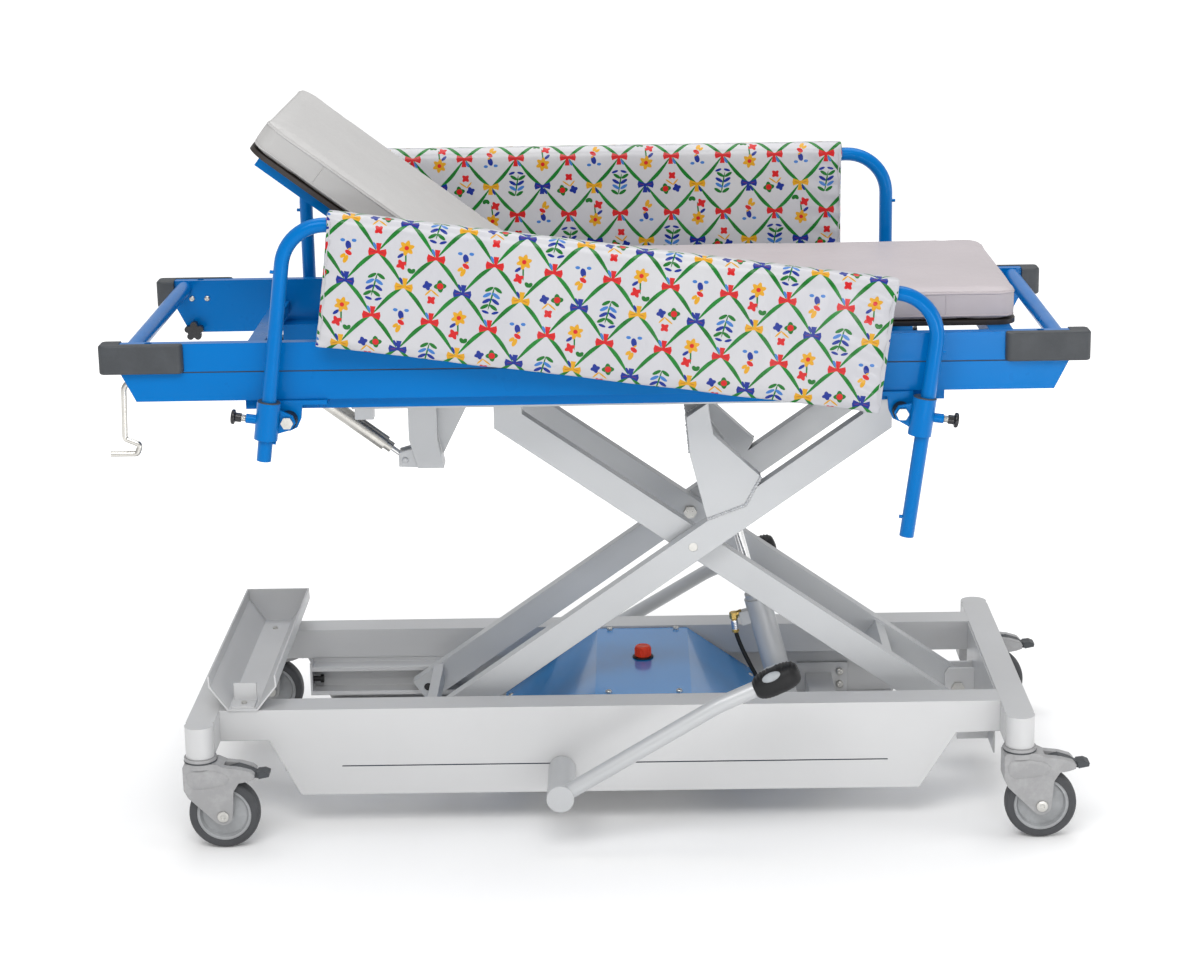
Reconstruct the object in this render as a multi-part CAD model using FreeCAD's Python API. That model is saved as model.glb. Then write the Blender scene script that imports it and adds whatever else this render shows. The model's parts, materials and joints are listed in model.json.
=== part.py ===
import FreeCAD, Part
import math
import os

# Hydraulic stretcher trolley, millimetres.  +X is the foot end, +Z is up, the floor is Z = 0,
# the near side is -Y.  The origin lies on the floor under the middle of the platform.

V = FreeCAD.Vector

# ---- driving dimensions -------------------------------------------------------------------
WHEEL_R = 62.5
CASTER_Y = 325.0
CASTER_HEAD_X = -702.0
CASTER_FOOT_X = 732.0
CASTER_TRAIL = 38.0
STEM_R = 10.0
FIT = 0.05

BAR_LOW = 168.0
BAR_TOP = 225.0
CROSSBAR_W = 50.0
CHANNEL_OUT = 255.0
CHANNEL_IN = 195.0
SKIRT_LOW = 64.0

PIVOT_FOOT = (673.0, 132.0)
PIVOT_ROLLER = (-335.0, 132.0)
PIVOT_CENTRE = (169.0, 484.0)
POST_A_X = -157.0
POST_B_X = 495.0
PIVOT_TOP_Z = 775.0
ARM_DEPTH = 50.0
ARM_A_Y = (85.0, 115.0)
ARM_B_Y = (120.0, 150.0)
BOLT_R = 8.0

CYL_FOOT = (350.0, 115.0)
CYL_TOP = (212.0, 628.0)
BARREL_R = 24.0
CYL_ROD_R = 9.0

PEDAL_SHAFT = (-70.0, 108.0)
PEDAL_Y = 388.0

TILT_PIVOT = (0.0, 808.0)
STRUT_LOW = (-350.0, 618.0)
STRUT_TOP = (-590.0, 800.0)

RAIL_IN = 278.0
RAIL_OUT = 298.0
RAIL_TOP = 899.5
RAIL_SEAM = 850.0
RAIL_LOW = 800.0
RAIL_END = 804.0
RAIL_LOW_END = 779.0
POLE_SOCKET_X = 755.0
POLE_SOCKET_R = 6.5
END_TUBE_X = 786.0

BOARD_Z = 900.0
BOARD_T = 8.0
PAD_T = 53.0
PAD_HALF = 250.0
PAD_END = 726.0
HINGE = (-157.0, 890.0)
BACK_ANGLE = 37.1
BACK_LEN = 538.0
STAY_LOW = (-237.0, 740.0)
STAY_Y = 62.0

SIDE_Y = 334.0
SIDE_TUBE_R = 12.5
SIDE_WALL = 2.0
SIDE_TOP = 1113.0
SIDE_BOTTOM = 698.0
SIDE_BEND = 75.0
SLEEVE_X = 553.0
SLEEVE_R = 20.0
SLEEVE_H = 65.0
BOLT_X = 519.5
BOLT_Z = 768.0
NEAR_TILT = 7.8
NEAR_PLAY = 4.8
FAR_PLAY = 1.3


# ---- small helpers --------------------------------------------------------------------------
def box(x0, x1, y0, y1, z0, z1):
    return Part.makeBox(x1 - x0, y1 - y0, z1 - z0, V(x0, y0, z0))


def rod_x(y, z, r, x0, x1):
    return Part.makeCylinder(r, x1 - x0, V(x0, y, z), V(1, 0, 0))


def rod_y(x, z, r, y0, y1):
    return Part.makeCylinder(r, y1 - y0, V(x, y0, z), V(0, 1, 0))


def rod_z(x, y, r, z0, z1):
    return Part.makeCylinder(r, z1 - z0, V(x, y, z0), V(0, 0, 1))


def plate_y(points, y0, y1):
    """A flat plate whose outline is given in X and Z, standing between y0 and y1."""
    wire = Part.makePolygon([V(x, y0, z) for x, z in points] + [V(points[0][0], y0, points[0][1])])
    return Part.Face(wire).extrude(V(0, y1 - y0, 0))


def tube_plate_y(points, y0, y1, wall):
    """The same plate made hollow, with closed ends, as a welded box section."""
    wire = Part.makePolygon([V(x, y0, z) for x, z in points] + [V(points[0][0], y0, points[0][1])])
    inner = wire.makeOffset2D(-wall, 2)
    core = Part.Face(inner).extrude(V(0, y1 - y0 - 2 * wall, 0))
    core.translate(V(0, wall, 0))
    return Part.Face(wire).extrude(V(0, y1 - y0, 0)).cut(core)


def box_tube(x0, x1, y0, y1, z0, z1, wall):
    return box(x0, x1, y0, y1, z0, z1).cut(
        box(x0 + wall, x1 - wall, y0 + wall, y1 - wall, z0 + wall, z1 - wall))


def join(shapes):
    return shapes[0].multiFuse(shapes[1:]).removeSplitter()


def mirror_y(shape):
    return shape.mirror(V(0, 0, 0), V(0, 1, 0))


def both_sides(shape):
    """The shape and its mirror image on the other side, as two solids."""
    return Part.makeCompound([shape, mirror_y(shape)])


def turn_y(shape, point, degrees):
    """Turn about the line through point along +Y."""
    turned = shape.copy()
    turned.rotate(V(point[0], 0, point[1]), V(0, 1, 0), degrees)
    return turned


def along(point, toward, distance):
    """The X, Z point at a distance from point on the way to toward."""
    length = math.hypot(toward[0] - point[0], toward[1] - point[1])
    return (point[0] + (toward[0] - point[0]) * distance / length,
            point[1] + (toward[1] - point[1]) * distance / length)


def rod_between(a, b, y, r, start, end):
    """A round bar on the line from a to b (X, Z), from start to end measured from a."""
    p = along(a, b, start)
    q = along(a, b, end)
    return Part.makeCylinder(r, end - start, V(p[0], y, p[1]), V(q[0] - p[0], 0, q[1] - p[1]))


def bent_path(points, radii):
    """Straight runs through the points, joined by tangent arcs of the given radii."""
    edges = []
    start = points[0]
    for before, corner, after, radius in zip(points, points[1:], points[2:], radii):
        a = (before - corner).normalize()
        b = (after - corner).normalize()
        half = a.getAngle(b) / 2
        cut = radius / math.tan(half)
        p = corner + a * cut
        q = corner + b * cut
        middle = corner + (a + b).normalize() * (radius / math.sin(half) - radius)
        edges.append(Part.LineSegment(start, p).toShape())
        edges.append(Part.Arc(p, middle, q).toShape())
        start = q
    edges.append(Part.LineSegment(start, points[-1]).toShape())
    return Part.Wire(edges)


def bent_rod(points, radii, r):
    """A round bar bent along the points."""
    path = bent_path(points, radii)
    circle = Part.Wire(Part.Circle(points[0], points[1] - points[0], r).toShape())
    return path.makePipeShell([circle], True, True)


def hex_head(x, z, across, y0, y1):
    """A hexagon bolt head or nut lying along Y."""
    corner = across / math.sqrt(3)
    points = [(x + corner * math.cos(math.radians(60 * k)), z + corner * math.sin(math.radians(60 * k)))
              for k in range(6)]
    return plate_y(points, y0, y1)


# ---- base -----------------------------------------------------------------------------------
def side_channel():
    """One far-side member: a box tube with a deep cover plate hanging below it."""
    x0 = CASTER_HEAD_X + CROSSBAR_W / 2
    x1 = CASTER_FOOT_X - CROSSBAR_W / 2
    beam = box_tube(x0, x1, CHANNEL_IN, CHANNEL_OUT, BAR_LOW, BAR_TOP, 3)
    outline = [(x0 + 4, BAR_LOW + 4), (x1 - 4, BAR_LOW + 4), (x1 - 4, BAR_LOW), (630, 166), (566, SKIRT_LOW),
               (-537, SKIRT_LOW), (-591, 170), (x0 + 4, 170)]
    skirt = plate_y(outline, CHANNEL_OUT - 5, CHANNEL_OUT)
    lip = box(-535, 564, CHANNEL_OUT - 25, CHANNEL_OUT - 2, SKIRT_LOW, SKIRT_LOW + 4)
    body = join([beam, skirt, lip])
    for start, end in ((-462, -54), (51, 509)):
        body = body.cut(box(start, end, CHANNEL_OUT - 1.2, CHANNEL_OUT + 1, 117, 119))
    return body.cut(rod_y(PEDAL_SHAFT[0], PEDAL_SHAFT[1], 14 + FIT, CHANNEL_OUT - 30, CHANNEL_OUT + 1))


def crossbar(x):
    """An end bar with round caster posts at both ends."""
    half = CROSSBAR_W / 2
    bar = box_tube(x - half, x + half, -CASTER_Y + 14, CASTER_Y - 14, BAR_LOW, BAR_TOP, 3)
    posts = [rod_z(x, side * CASTER_Y, half, BAR_LOW, BAR_TOP) for side in (-1, 1)]
    shape = join([bar] + posts)
    for side in (-1, 1):
        shape = shape.cut(rod_z(x, side * CASTER_Y, STEM_R + FIT, BAR_LOW - 1, BAR_TOP - 10))
    return shape


def roller_track():
    """A track open towards the middle, hung under the side member."""
    shape = box(-562, -250, 160, 200, 104, 160).cut(box(-563, -249, 150, 195, 112, 152))
    hanger = box(-562, -250, 196, 240, 160, BAR_LOW)
    stop = rod_x(178, 132, 5, -562, -548)
    stop_tip = rod_x(178, 132, 8, -548, -542)
    end_plate = box(-566, -562, 160, 240, 104, BAR_LOW)
    return join([shape, hanger, end_plate, stop, stop_tip])


def base_brackets():
    """The foot end plate with the arm clevises, the cylinder cross member and the pump floor."""
    parts = [box(704.5, 707, -CHANNEL_IN, CHANNEL_IN, 104, BAR_TOP - 3)]
    for side in (-1, 1):
        for y in (78, 116):
            ear = plate_y([(648, 104), (705, 104), (705, 170), (655, 170), (648, 160)], y, y + 6)
            ear = ear.cut(rod_y(PIVOT_FOOT[0], PIVOT_FOOT[1], BOLT_R - 0.5, y - 1, y + 7))
            parts.append(ear if side > 0 else mirror_y(ear))
    clevis = join(parts)
    beam = box_tube(395, 445, -244, 244, 68, 108, 3)
    lugs = [plate_y([(332, 95), (332, 130), (366, 132), (420, 108), (420, 84), (395, 84)], y, y + 6)
            for y in (-34, 28)]
    ends = [box(378, 478, y, y + 6, 68, 128) for y in (-250, 244)]
    pin = rod_y(CYL_FOOT[0], CYL_FOOT[1], BOLT_R, -40, 40)
    cylinder_beam = join([beam] + lugs + ends + [pin])
    floor = box(-150, 200, -249, 249, SKIRT_LOW + 5, SKIRT_LOW + 9)
    return Part.makeCompound([clevis, cylinder_beam, floor])


def pump_cover():
    """Folded sheet cover with sloping ends, open underneath."""
    outer = plate_y([(-190, 95), (-10, 222), (163, 222), (295, 130), (295, 95)], -190, 190)
    inner = plate_y([(-190, 91.5), (-10.6, 220), (162.4, 220), (293, 129), (293, 90)], -188, 188)
    shell = outer.cut(inner).cut(box(-191, 294, -195, 195, 80, 135).cut(box(-191, 296, -187, 187, 80, 135)))
    return shell.cut(rod_z(77, 17, 10, 215, 225))


def pump_unit():
    """Hydraulic reservoir, pump block round the pedal shaft, and the filler neck."""
    x, z = PEDAL_SHAFT
    tank = box(0, 150, -80, 80, 73, 195)
    block = box(-110, 0, -60, 60, 73, 144).cut(rod_y(x, z, 15.2, -61, 61))
    piston = rod_z(-20, 0, 14, 144, 165)
    neck = rod_z(77, 17, 9, 195, 236)
    collar = rod_z(77, 17, 16, 222.1, 225)
    return join([tank, block, piston, neck, collar])


def filler_cap():
    """Ribbed screw cap over the filler neck."""
    cap = rod_z(77, 17, 14, 225.3, 243)
    ribs = []
    for k in range(16):
        a = math.radians(360 / 16 * k)
        ribs.append(rod_z(77 + 14 * math.cos(a), 17 + 14 * math.sin(a), 1.6, 226, 241))
    return join([cap] + ribs).cut(rod_z(77, 17, 9 + FIT, 224, 237))


def gas_bottle_tray():
    """Trough for a gas bottle, lying across both side members at the head end."""
    outer = [(-694, 291), (-693, 270), (-661, 225), (-608, 225), (-572, 270), (-573, 291)]
    inner = [(-691, 292), (-690, 271), (-659.5, 228), (-609.5, 228), (-575, 271), (-576, 292)]
    trough = plate_y(outer, -258, 258).cut(plate_y(inner, -259, 255))
    stop = box(-655, -614, -214, -210, 228, 262)
    stop_foot = box(-655, -614, -250, -214, 228, 231)
    tray = join([trough, stop, stop_foot])
    for y in (-232, 200):
        tray = tray.cut(rod_z(-634.5, y, 3, 220, 235))
    return tray


def base_fasteners():
    """Cover screws, tray screws, clevis bolts and cross-member screws."""
    screws = []
    for x in (14, 141):
        for y in (-180, 180):
            screws.append(rod_z(x, y, 5, 222, 225.5))
    for y in (-232, 200):
        screws.append(rod_z(-634.5, y, 5, 231 if y < 0 else 228, 234 if y < 0 else 231))
    for z in (84, 110):
        for side in (-1, 1):
            head = rod_y(462, z, 7, 238, 244).cut(rod_y(462, z, 3, 237, 242))
            screws.append(head if side > 0 else mirror_y(head))
    for side in (-1, 1):
        head = hex_head(PIVOT_FOOT[0], PIVOT_FOOT[1], 22, 70, 78)
        nut = hex_head(PIVOT_FOOT[0], PIVOT_FOOT[1], 22, 122, 130)
        shank = rod_y(PIVOT_FOOT[0], PIVOT_FOOT[1], BOLT_R - 0.6, 78, 122)
        bolt = join([head, shank, nut])
        screws.append(bolt if side > 0 else mirror_y(bolt))
    return Part.makeCompound(screws)


# ---- casters --------------------------------------------------------------------------------
def caster_fork():
    """Swivel housing with two cheeks, hood, stem and axle, at the origin's swivel axis."""
    outline = [(-29, 154), (-26, 160), (29, 160), (44, 153), (70, 150), (90, 144), (96, 138), (95, 131),
               (84, 127), (68, 124), (58, 108), (55, 66), (54, 56), (46, 48), (36, 45.5), (26, 50),
               (-22, 98), (-29, 112)]
    body = plate_y(outline, -24, 24)
    body = body.fuse(rod_z(0, 0, 28.5, 150, BAR_LOW - 0.3))
    body = body.cut(rod_y(CASTER_TRAIL, WHEEL_R, WHEEL_R + 3, -18, 18))
    body = body.cut(box(20, 110, -18, 18, 20, 100))
    body = body.cut(box(42, 100, -9.5, 9.5, 118, 160))
    axle = rod_y(CASTER_TRAIL, WHEEL_R, 6, -26, 26)
    caps = [rod_y(CASTER_TRAIL, WHEEL_R, 9, y, y + 2.5) for y in (-26.5, 24)]
    hinge = rod_y(78, 138, 3, -24, 24)
    stem = rod_z(0, 0, STEM_R, BAR_LOW - 1, BAR_TOP - 11)
    return join([body, axle, stem, hinge] + caps)


def caster_wheel():
    """Rubber tyre and plastic rim, two solids."""
    tyre_profile = [(48, -16), (58, -16), (61.5, -12), (WHEEL_R, -5), (WHEEL_R, 5), (61.5, 12), (58, 16),
                    (48, 16)]
    rim_profile = [(6 + FIT, -17), (14, -17), (16, -7), (40, -5), (43, -13.5), (48, -13.5),
                   (48, 13.5), (43, 13.5), (40, 5), (16, 7), (14, 17), (6 + FIT, 17)]
    solids = []
    for profile in (tyre_profile, rim_profile):
        points = [V(CASTER_TRAIL, y, WHEEL_R + r) for r, y in profile]
        face = Part.Face(Part.makePolygon(points + [points[0]]))
        solids.append(face.revolve(V(CASTER_TRAIL, 0, WHEEL_R), V(0, 1, 0), 360))
    return Part.makeCompound(solids)


def caster_brake():
    """Foot rocker that sits in the hood's slot, with its tab standing out in front."""
    outline = [(46, 145), (66, 151.5), (78, 147.5), (97, 139), (112, 141), (121, 137), (120, 131),
               (102, 127.5), (84, 130), (66, 136), (48, 140)]
    rocker = plate_y(outline, -8.5, 8.5)
    tab = plate_y([(99, 139.5), (112, 141), (121, 137), (120, 131), (102, 127.5)], -13, 13)
    return join([rocker, tab]).cut(rod_y(78, 138, 3 + FIT, -14, 14))


# ---- lift -----------------------------------------------------------------------------------
def arm_outline(low, post_x):
    """Outline of an arm: straight from its low pivot, mitred into an upright post."""
    slope = math.atan2(PIVOT_CENTRE[1] - low[1], PIVOT_CENTRE[0] - low[0])
    run = V(math.cos(slope), 0, math.sin(slope))
    side = V(-run.z, 0, run.x)
    half = ARM_DEPTH / 2
    reach = 18
    outline = []
    direction = 1 if post_x > low[0] else -1
    for offset, post in ((half, post_x - half * direction), (-half, post_x + half * direction)):
        offset = offset * direction
        start = V(low[0], 0, low[1]) + side * offset - run * reach
        rise = (post - start.x) / run.x * run.z
        outline.append([(start.x, start.z), (post, start.z + rise), (post, PIVOT_TOP_Z + 18)])
    return outline[0] + outline[1][::-1]


def arm(low, post_x, y0, y1, pin_r):
    """One hollow arm with bushed pivots at its foot, centre and top."""
    shape = tube_plate_y(arm_outline(low, post_x), y0, y1, 3)
    pivots = [low, PIVOT_CENTRE, (post_x, PIVOT_TOP_Z)]
    bosses = [rod_y(x, z, 16, y0, y1) for x, z in pivots]
    shape = join([shape] + bosses)
    for x, z in pivots:
        shape = shape.cut(rod_y(x, z, pin_r + FIT, y0 - 1, y1 + 1))
    return shape


def inner_arms():
    """The inner pair of arms and the cross tube that joins them near the foot."""
    beam = arm(PIVOT_FOOT, POST_A_X, ARM_A_Y[0], ARM_A_Y[1], BOLT_R)
    centre = along(PIVOT_FOOT, PIVOT_CENTRE, 195)
    x, z = centre
    rung = box_tube(x - 11, x + 11, -ARM_A_Y[0], ARM_A_Y[0], z - 20, z + 20, 3)
    slope = math.degrees(math.atan2(PIVOT_CENTRE[1] - PIVOT_FOOT[1], PIVOT_FOOT[0] - PIVOT_CENTRE[0]))
    rung = turn_y(rung, centre, slope)
    return join([beam, mirror_y(beam), rung])


def outer_arms():
    """The outer pair of arms, the horn that the cylinder lifts, and the low cross plate."""
    beam = arm(PIVOT_ROLLER, POST_B_X, ARM_B_Y[0], ARM_B_Y[1], BOLT_R)
    side = [(194, 535), (165, 650), (159, 722), (196, 747), (206, 690), (290, 612), (262, 560)]
    gusset = tube_plate_y(side, ARM_B_Y[0], ARM_B_Y[1], 3)
    gusset = gusset.cut(beam)
    horn = tube_plate_y([(165, 650), (159, 722), (196, 747), (206, 678)], -ARM_B_Y[0], ARM_B_Y[0], 3)
    plate = box(-322, -304, -ARM_B_Y[0], ARM_B_Y[0], 140, 178)
    lugs = []
    for y in (-26, 20):
        lug = plate_y([(168, 656), (206, 676), (232, 640), (226, 614), (200, 612), (190, 628)], y, y + 6)
        lugs.append(lug)
    pin = rod_y(CYL_TOP[0], CYL_TOP[1], 6, -28, 28)
    return join([beam, mirror_y(beam), gusset, mirror_y(gusset), horn, plate, pin] + lugs)


def lift_pivot_bolts():
    """The two centre pivots: a hexagon head inside each inner arm, the shank through both arms."""
    x, z = PIVOT_CENTRE
    head = hex_head(x, z, 22, 76, 84.8)
    shank = rod_y(x, z, BOLT_R, 84, 149)
    return both_sides(join([head, shank]))


def lower_rollers():
    """Track rollers of the outer arms, each with its stub axle."""
    x, z = PIVOT_ROLLER
    return both_sides(join([rod_y(x, z, 19.6, 165, 190), rod_y(x, z, BOLT_R, 122, 166)]))


def upper_rollers():
    """Track rollers of the inner arms' top ends, each with its stub axle."""
    wheel = rod_y(POST_A_X, PIVOT_TOP_Z, 14.6, 165, 184)
    return both_sides(join([wheel, rod_y(POST_A_X, PIVOT_TOP_Z, BOLT_R, 87, 166)]))


def cylinder_barrel():
    """Lift cylinder body with foot eye, gland, port lug and hose clamp."""
    foot = rod_y(CYL_FOOT[0], CYL_FOOT[1], 18, -27, 27)
    tube = rod_between(CYL_FOOT, CYL_TOP, 0, BARREL_R, 12, 236)
    gland = rod_between(CYL_FOOT, CYL_TOP, 0, BARREL_R - 3, 236, 246)
    port = along(CYL_FOOT, CYL_TOP, 205)
    lug = turn_y(box(port[0] - 40, port[0] - 15, -9, 9, port[1] - 14, port[1] + 12), port, -15)
    body = join([foot, tube, gland, lug])
    body = body.cut(rod_between(CYL_FOOT, CYL_TOP, 0, BARREL_R - 5, 24, 230))
    body = body.cut(rod_between(CYL_FOOT, CYL_TOP, 0, CYL_ROD_R + FIT, 229, 247))
    return body.cut(rod_y(CYL_FOOT[0], CYL_FOOT[1], BOLT_R + FIT, -28, 28))


def cylinder_rod():
    """Polished rod with its piston and a roomy eye round the horn pin."""
    length = math.hypot(CYL_TOP[0] - CYL_FOOT[0], CYL_TOP[1] - CYL_FOOT[1])
    rod = rod_between(CYL_FOOT, CYL_TOP, 0, CYL_ROD_R, 225, length - 16)
    piston = rod_between(CYL_FOOT, CYL_TOP, 0, BARREL_R - 5 - FIT, 217, 227)
    eye = rod_y(CYL_TOP[0], CYL_TOP[1], 20, -12, 12)
    return join([rod, piston, eye]).cut(rod_y(CYL_TOP[0], CYL_TOP[1], 15, -13, 13))


def hose_route():
    """The hose's route from the port fitting down to the cylinder foot."""
    return [V(246.5, 0, 304), V(250, 0, 272), V(262, 0, 240), V(279, -6, 206), V(296, -14, 176),
            V(310, -24, 150)]


def hydraulic_hose():
    """Hose with its end fittings: straight runs joined by arcs, held by the cylinder all the way."""
    points = hose_route()
    radii = []
    for a, b, c in zip(points, points[1:], points[2:]):
        turn = (b - a).getAngle(c - b)
        radii.append(0.45 * min((b - a).Length, (c - b).Length) / math.tan(turn / 2))
    return bent_rod(points, radii, 4)


# ---- foot pump ------------------------------------------------------------------------------
def pump_pedals():
    """One shaft through the base with a boss and a bent tube lever on each side."""
    x, z = PEDAL_SHAFT
    shaft = rod_y(x, z, 14, -380, 380)
    cam = rod_y(x + 6, z, 18, 62, 80)
    solids = [shaft, cam]
    for side in (-1, 1):
        y = side * PEDAL_Y
        inner, outer = sorted((side * 257, side * (PEDAL_Y + 15)))
        solids.append(rod_y(x, z, 24, inner, outer))
        route = [V(x, y, z), V(205, y, 272), V(300, y, 314)]
        solids.append(bent_rod(route, [140], 14))
    return join(solids).cut(rod_y(x, z, 10, -374, 374))


def pedal_pads():
    """Ribbed rubber foot pads over the lever ends."""
    pads = []
    for side in (-1, 1):
        y = side * PEDAL_Y
        pad = box(262, 348, y - 27, y + 27, 293, 338)
        pad = pad.makeFillet(12, pad.Edges)
        pads.append(turn_y(pad, (304, 316), -24))
    pads = [pad.cut(bent_rod([V(PEDAL_SHAFT[0], s * PEDAL_Y, PEDAL_SHAFT[1]), V(205, s * PEDAL_Y, 272),
                              V(300, s * PEDAL_Y, 314)], [140], 14)) for pad, s in zip(pads, (-1, 1))]
    return Part.makeCompound(pads)


# ---- tilting subframe -----------------------------------------------------------------------
def subframe_channel():
    """One roller channel, open towards the middle."""
    shape = box(-425, 575, 155, 193, 756.5, 793.5).cut(box(-426, 576, 150, 189, 760, 790))
    lug = plate_y([(-28, 770), (28, 770), (14, 826), (-14, 826)], 193, 199)
    stud = rod_y(POST_B_X, PIVOT_TOP_Z, BOLT_R, 121, 190)
    return join([shape, lug, stud])


def tilt_subframe():
    """The lift's top frame: two roller channels, cross tubes, spine and the strut bracket."""
    channel = subframe_channel()
    heads = [box_tube(x, x + 40, -155, 155, 757, 793, 3) for x in (-425, 20, 540)]
    spine = box_tube(-386, 21, -25, 25, 757, 790, 3)
    hanger = tube_plate_y([(-342, 757), (-342, 657), (-327, 604), (-280, 604), (-290, 657), (-290, 757)],
                          -25, 25, 3)
    gusset = plate_y([(-290, 757), (-290, 665), (-282, 625), (-215, 757)], -4, 4)
    post = box_tube(-428, -395, -118, -88, 719, 757, 3)
    lugs = []
    for y in (-19, 13):
        lugs.append(plate_y([(-362, 606), (-326, 604), (-334, 640), (-362, 632)], y, y + 6))
    pin = rod_y(STRUT_LOW[0], STRUT_LOW[1], 5, -22, 22)
    frame = join([channel, mirror_y(channel)] + heads + [spine, hanger, gusset, post, pin] + lugs)
    return frame.cut(rod_y(TILT_PIVOT[0], TILT_PIVOT[1], 10 + FIT, -200, 200))


def tilt_strut_rod():
    """Thin rod and lower eye of the tilt strut."""
    eye = rod_y(STRUT_LOW[0], STRUT_LOW[1], 10, -12.5, 12.5)
    rod = rod_between(STRUT_LOW, STRUT_TOP, 0, 5, 8, 214)
    piston = rod_between(STRUT_LOW, STRUT_TOP, 0, 11 - FIT, 200, 212)
    return join([eye, rod, piston]).cut(rod_y(STRUT_LOW[0], STRUT_LOW[1], 5 + FIT, -13, 13))


def tilt_strut_barrel():
    """Steel barrel of the tilt strut with a roomy upper eye."""
    barrel = rod_between(STRUT_LOW, STRUT_TOP, 0, 14, 46, 272)
    collar = rod_between(STRUT_LOW, STRUT_TOP, 0, 10, 32, 47)
    eye = rod_y(STRUT_TOP[0], STRUT_TOP[1], 16, -12, 12)
    link = rod_between(STRUT_LOW, STRUT_TOP, 0, 8, 271, 290)
    body = join([barrel, collar, eye, link])
    body = body.cut(rod_between(STRUT_LOW, STRUT_TOP, 0, 11, 60, 264))
    body = body.cut(rod_between(STRUT_LOW, STRUT_TOP, 0, 5 + FIT, 31, 61))
    return body.cut(rod_y(STRUT_TOP[0], STRUT_TOP[1], 10, -13, 13))


# ---- platform -------------------------------------------------------------------------------
def platform_rail():
    """One side rail: two stacked box tubes with angled lower ends and pole sockets."""
    outline = [(-RAIL_END, RAIL_TOP), (RAIL_END, RAIL_TOP), (RAIL_END, RAIL_SEAM), (RAIL_LOW_END, RAIL_LOW),
               (-RAIL_LOW_END, RAIL_LOW), (-RAIL_END, RAIL_SEAM)]
    shape = tube_plate_y(outline, RAIL_IN, RAIL_OUT, 2)
    groove = box(-RAIL_END - 1, RAIL_END + 1, RAIL_OUT - 0.8, RAIL_OUT + 1, RAIL_SEAM - 1, RAIL_SEAM + 1)
    shape = shape.cut(groove)
    middle = (RAIL_IN + RAIL_OUT) / 2
    sockets = [rod_z(x, middle, 8.5, RAIL_LOW, RAIL_TOP - 0.5) for x in (-POLE_SOCKET_X, POLE_SOCKET_X)]
    shape = join([shape] + sockets)
    for x in (-POLE_SOCKET_X, POLE_SOCKET_X):
        shape = shape.cut(rod_z(x, middle, POLE_SOCKET_R, RAIL_LOW + 8, RAIL_TOP + 1))
    return shape


def platform_cross_tubes():
    """Everything that ties the two rails: end tubes, bars, beams, hinge shaft and strut lugs."""
    ends = [rod_y(x, 884.5, 14, -RAIL_IN, RAIL_IN) for x in (-END_TUBE_X, END_TUBE_X)]
    bars = [box_tube(x, x + w, -RAIL_IN, RAIL_IN, z0, z1, 2)
            for x, w, z0, z1 in ((-616, 30, 838, 858), (-140, 36, 872, BOARD_Z), (-219, 36, 845, 865),
                                 (330, 40, 872, BOARD_Z), (670, 40, 872, BOARD_Z))]
    beams = [box_tube(-596, 596, y, y + 40, 780, 820, 2) for y in (-RAIL_IN, RAIL_IN - 40)]
    axle = rod_y(TILT_PIVOT[0], TILT_PIVOT[1], 10, -240, 240)
    strut_lugs = [plate_y([(-610, 840), (-580, 840), (-576, 790), (-604, 790)], y, y + 6)
                  for y in (-19, 13)]
    strut_pin = rod_y(STRUT_TOP[0], STRUT_TOP[1], 5, -22, 22)
    stay_lugs = [plate_y([(-216, 846), (-188, 846), (-226, 730), (-248, 730), (-250, 746)], y, y + 5)
                 for y in (STAY_Y - 16, STAY_Y + 11)]
    stay_pin = rod_y(STAY_LOW[0], STAY_LOW[1], 4, STAY_Y - 18, STAY_Y + 18)
    hinge_lug = [(-140, 874), (-140, BOARD_Z - 1), (-166, BOARD_Z - 1), (-170, 890), (-164, 878)]
    hinge_lugs = [plate_y(hinge_lug, y, y + 8)
                  for y in (-186, 178, -222, 214)]
    hinge_shaft = rod_y(HINGE[0], HINGE[1], 7, -224, 224)
    clips = [box(x, x + 20, -275, -250, 819, 838).cut(rod_x(-262, 827, 6 + FIT, x - 1, x + 21))
             for x in (-570, -220)]
    frame = ends + bars + beams + [axle, strut_pin, stay_pin, hinge_shaft]
    return join(frame + strut_lugs + stay_lugs + hinge_lugs + clips)


def corner_bumpers():
    """Moulded bumpers wrapped round the four rail ends, with their screws."""
    block = box(695, 838, 268, 312, 850, 900.5)
    upright = [e for e in block.Edges if e.BoundBox.ZLength > 49]
    block = block.makeFillet(10, upright)
    block = block.makeFillet(4, [e for e in block.Edges if abs(e.BoundBox.ZLength) < 0.1])
    block = block.cut(box(690, RAIL_END, 260, RAIL_OUT, 840, 910))
    solids = []
    for x_sign in (-1, 1):
        for y_sign in (-1, 1):
            shape = block.copy()
            if x_sign < 0:
                shape = shape.mirror(V(0, 0, 0), V(1, 0, 0))
            solids.append(shape if y_sign > 0 else mirror_y(shape))
    return Part.makeCompound(solids)


def rail_brackets():
    """Brackets under the rails that carry the side rails' pivots."""
    flange = box(454, 540, 279, 305, 792, 800)
    web = plate_y([(496, 794), (540, 794), (540, 768), (533, 753), (519, 747), (506, 753), (499, 768)],
                  297, 305)
    web = web.cut(rod_y(BOLT_X, BOLT_Z, 6, 290, 306))
    screw = rod_z(466, 290, 6, 786, 792)
    bracket = join([flange, web, screw])
    four = [bracket, mirror_y(bracket)]
    return Part.makeCompound(four + [shape.mirror(V(0, 0, 0), V(1, 0, 0)) for shape in four])


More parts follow.
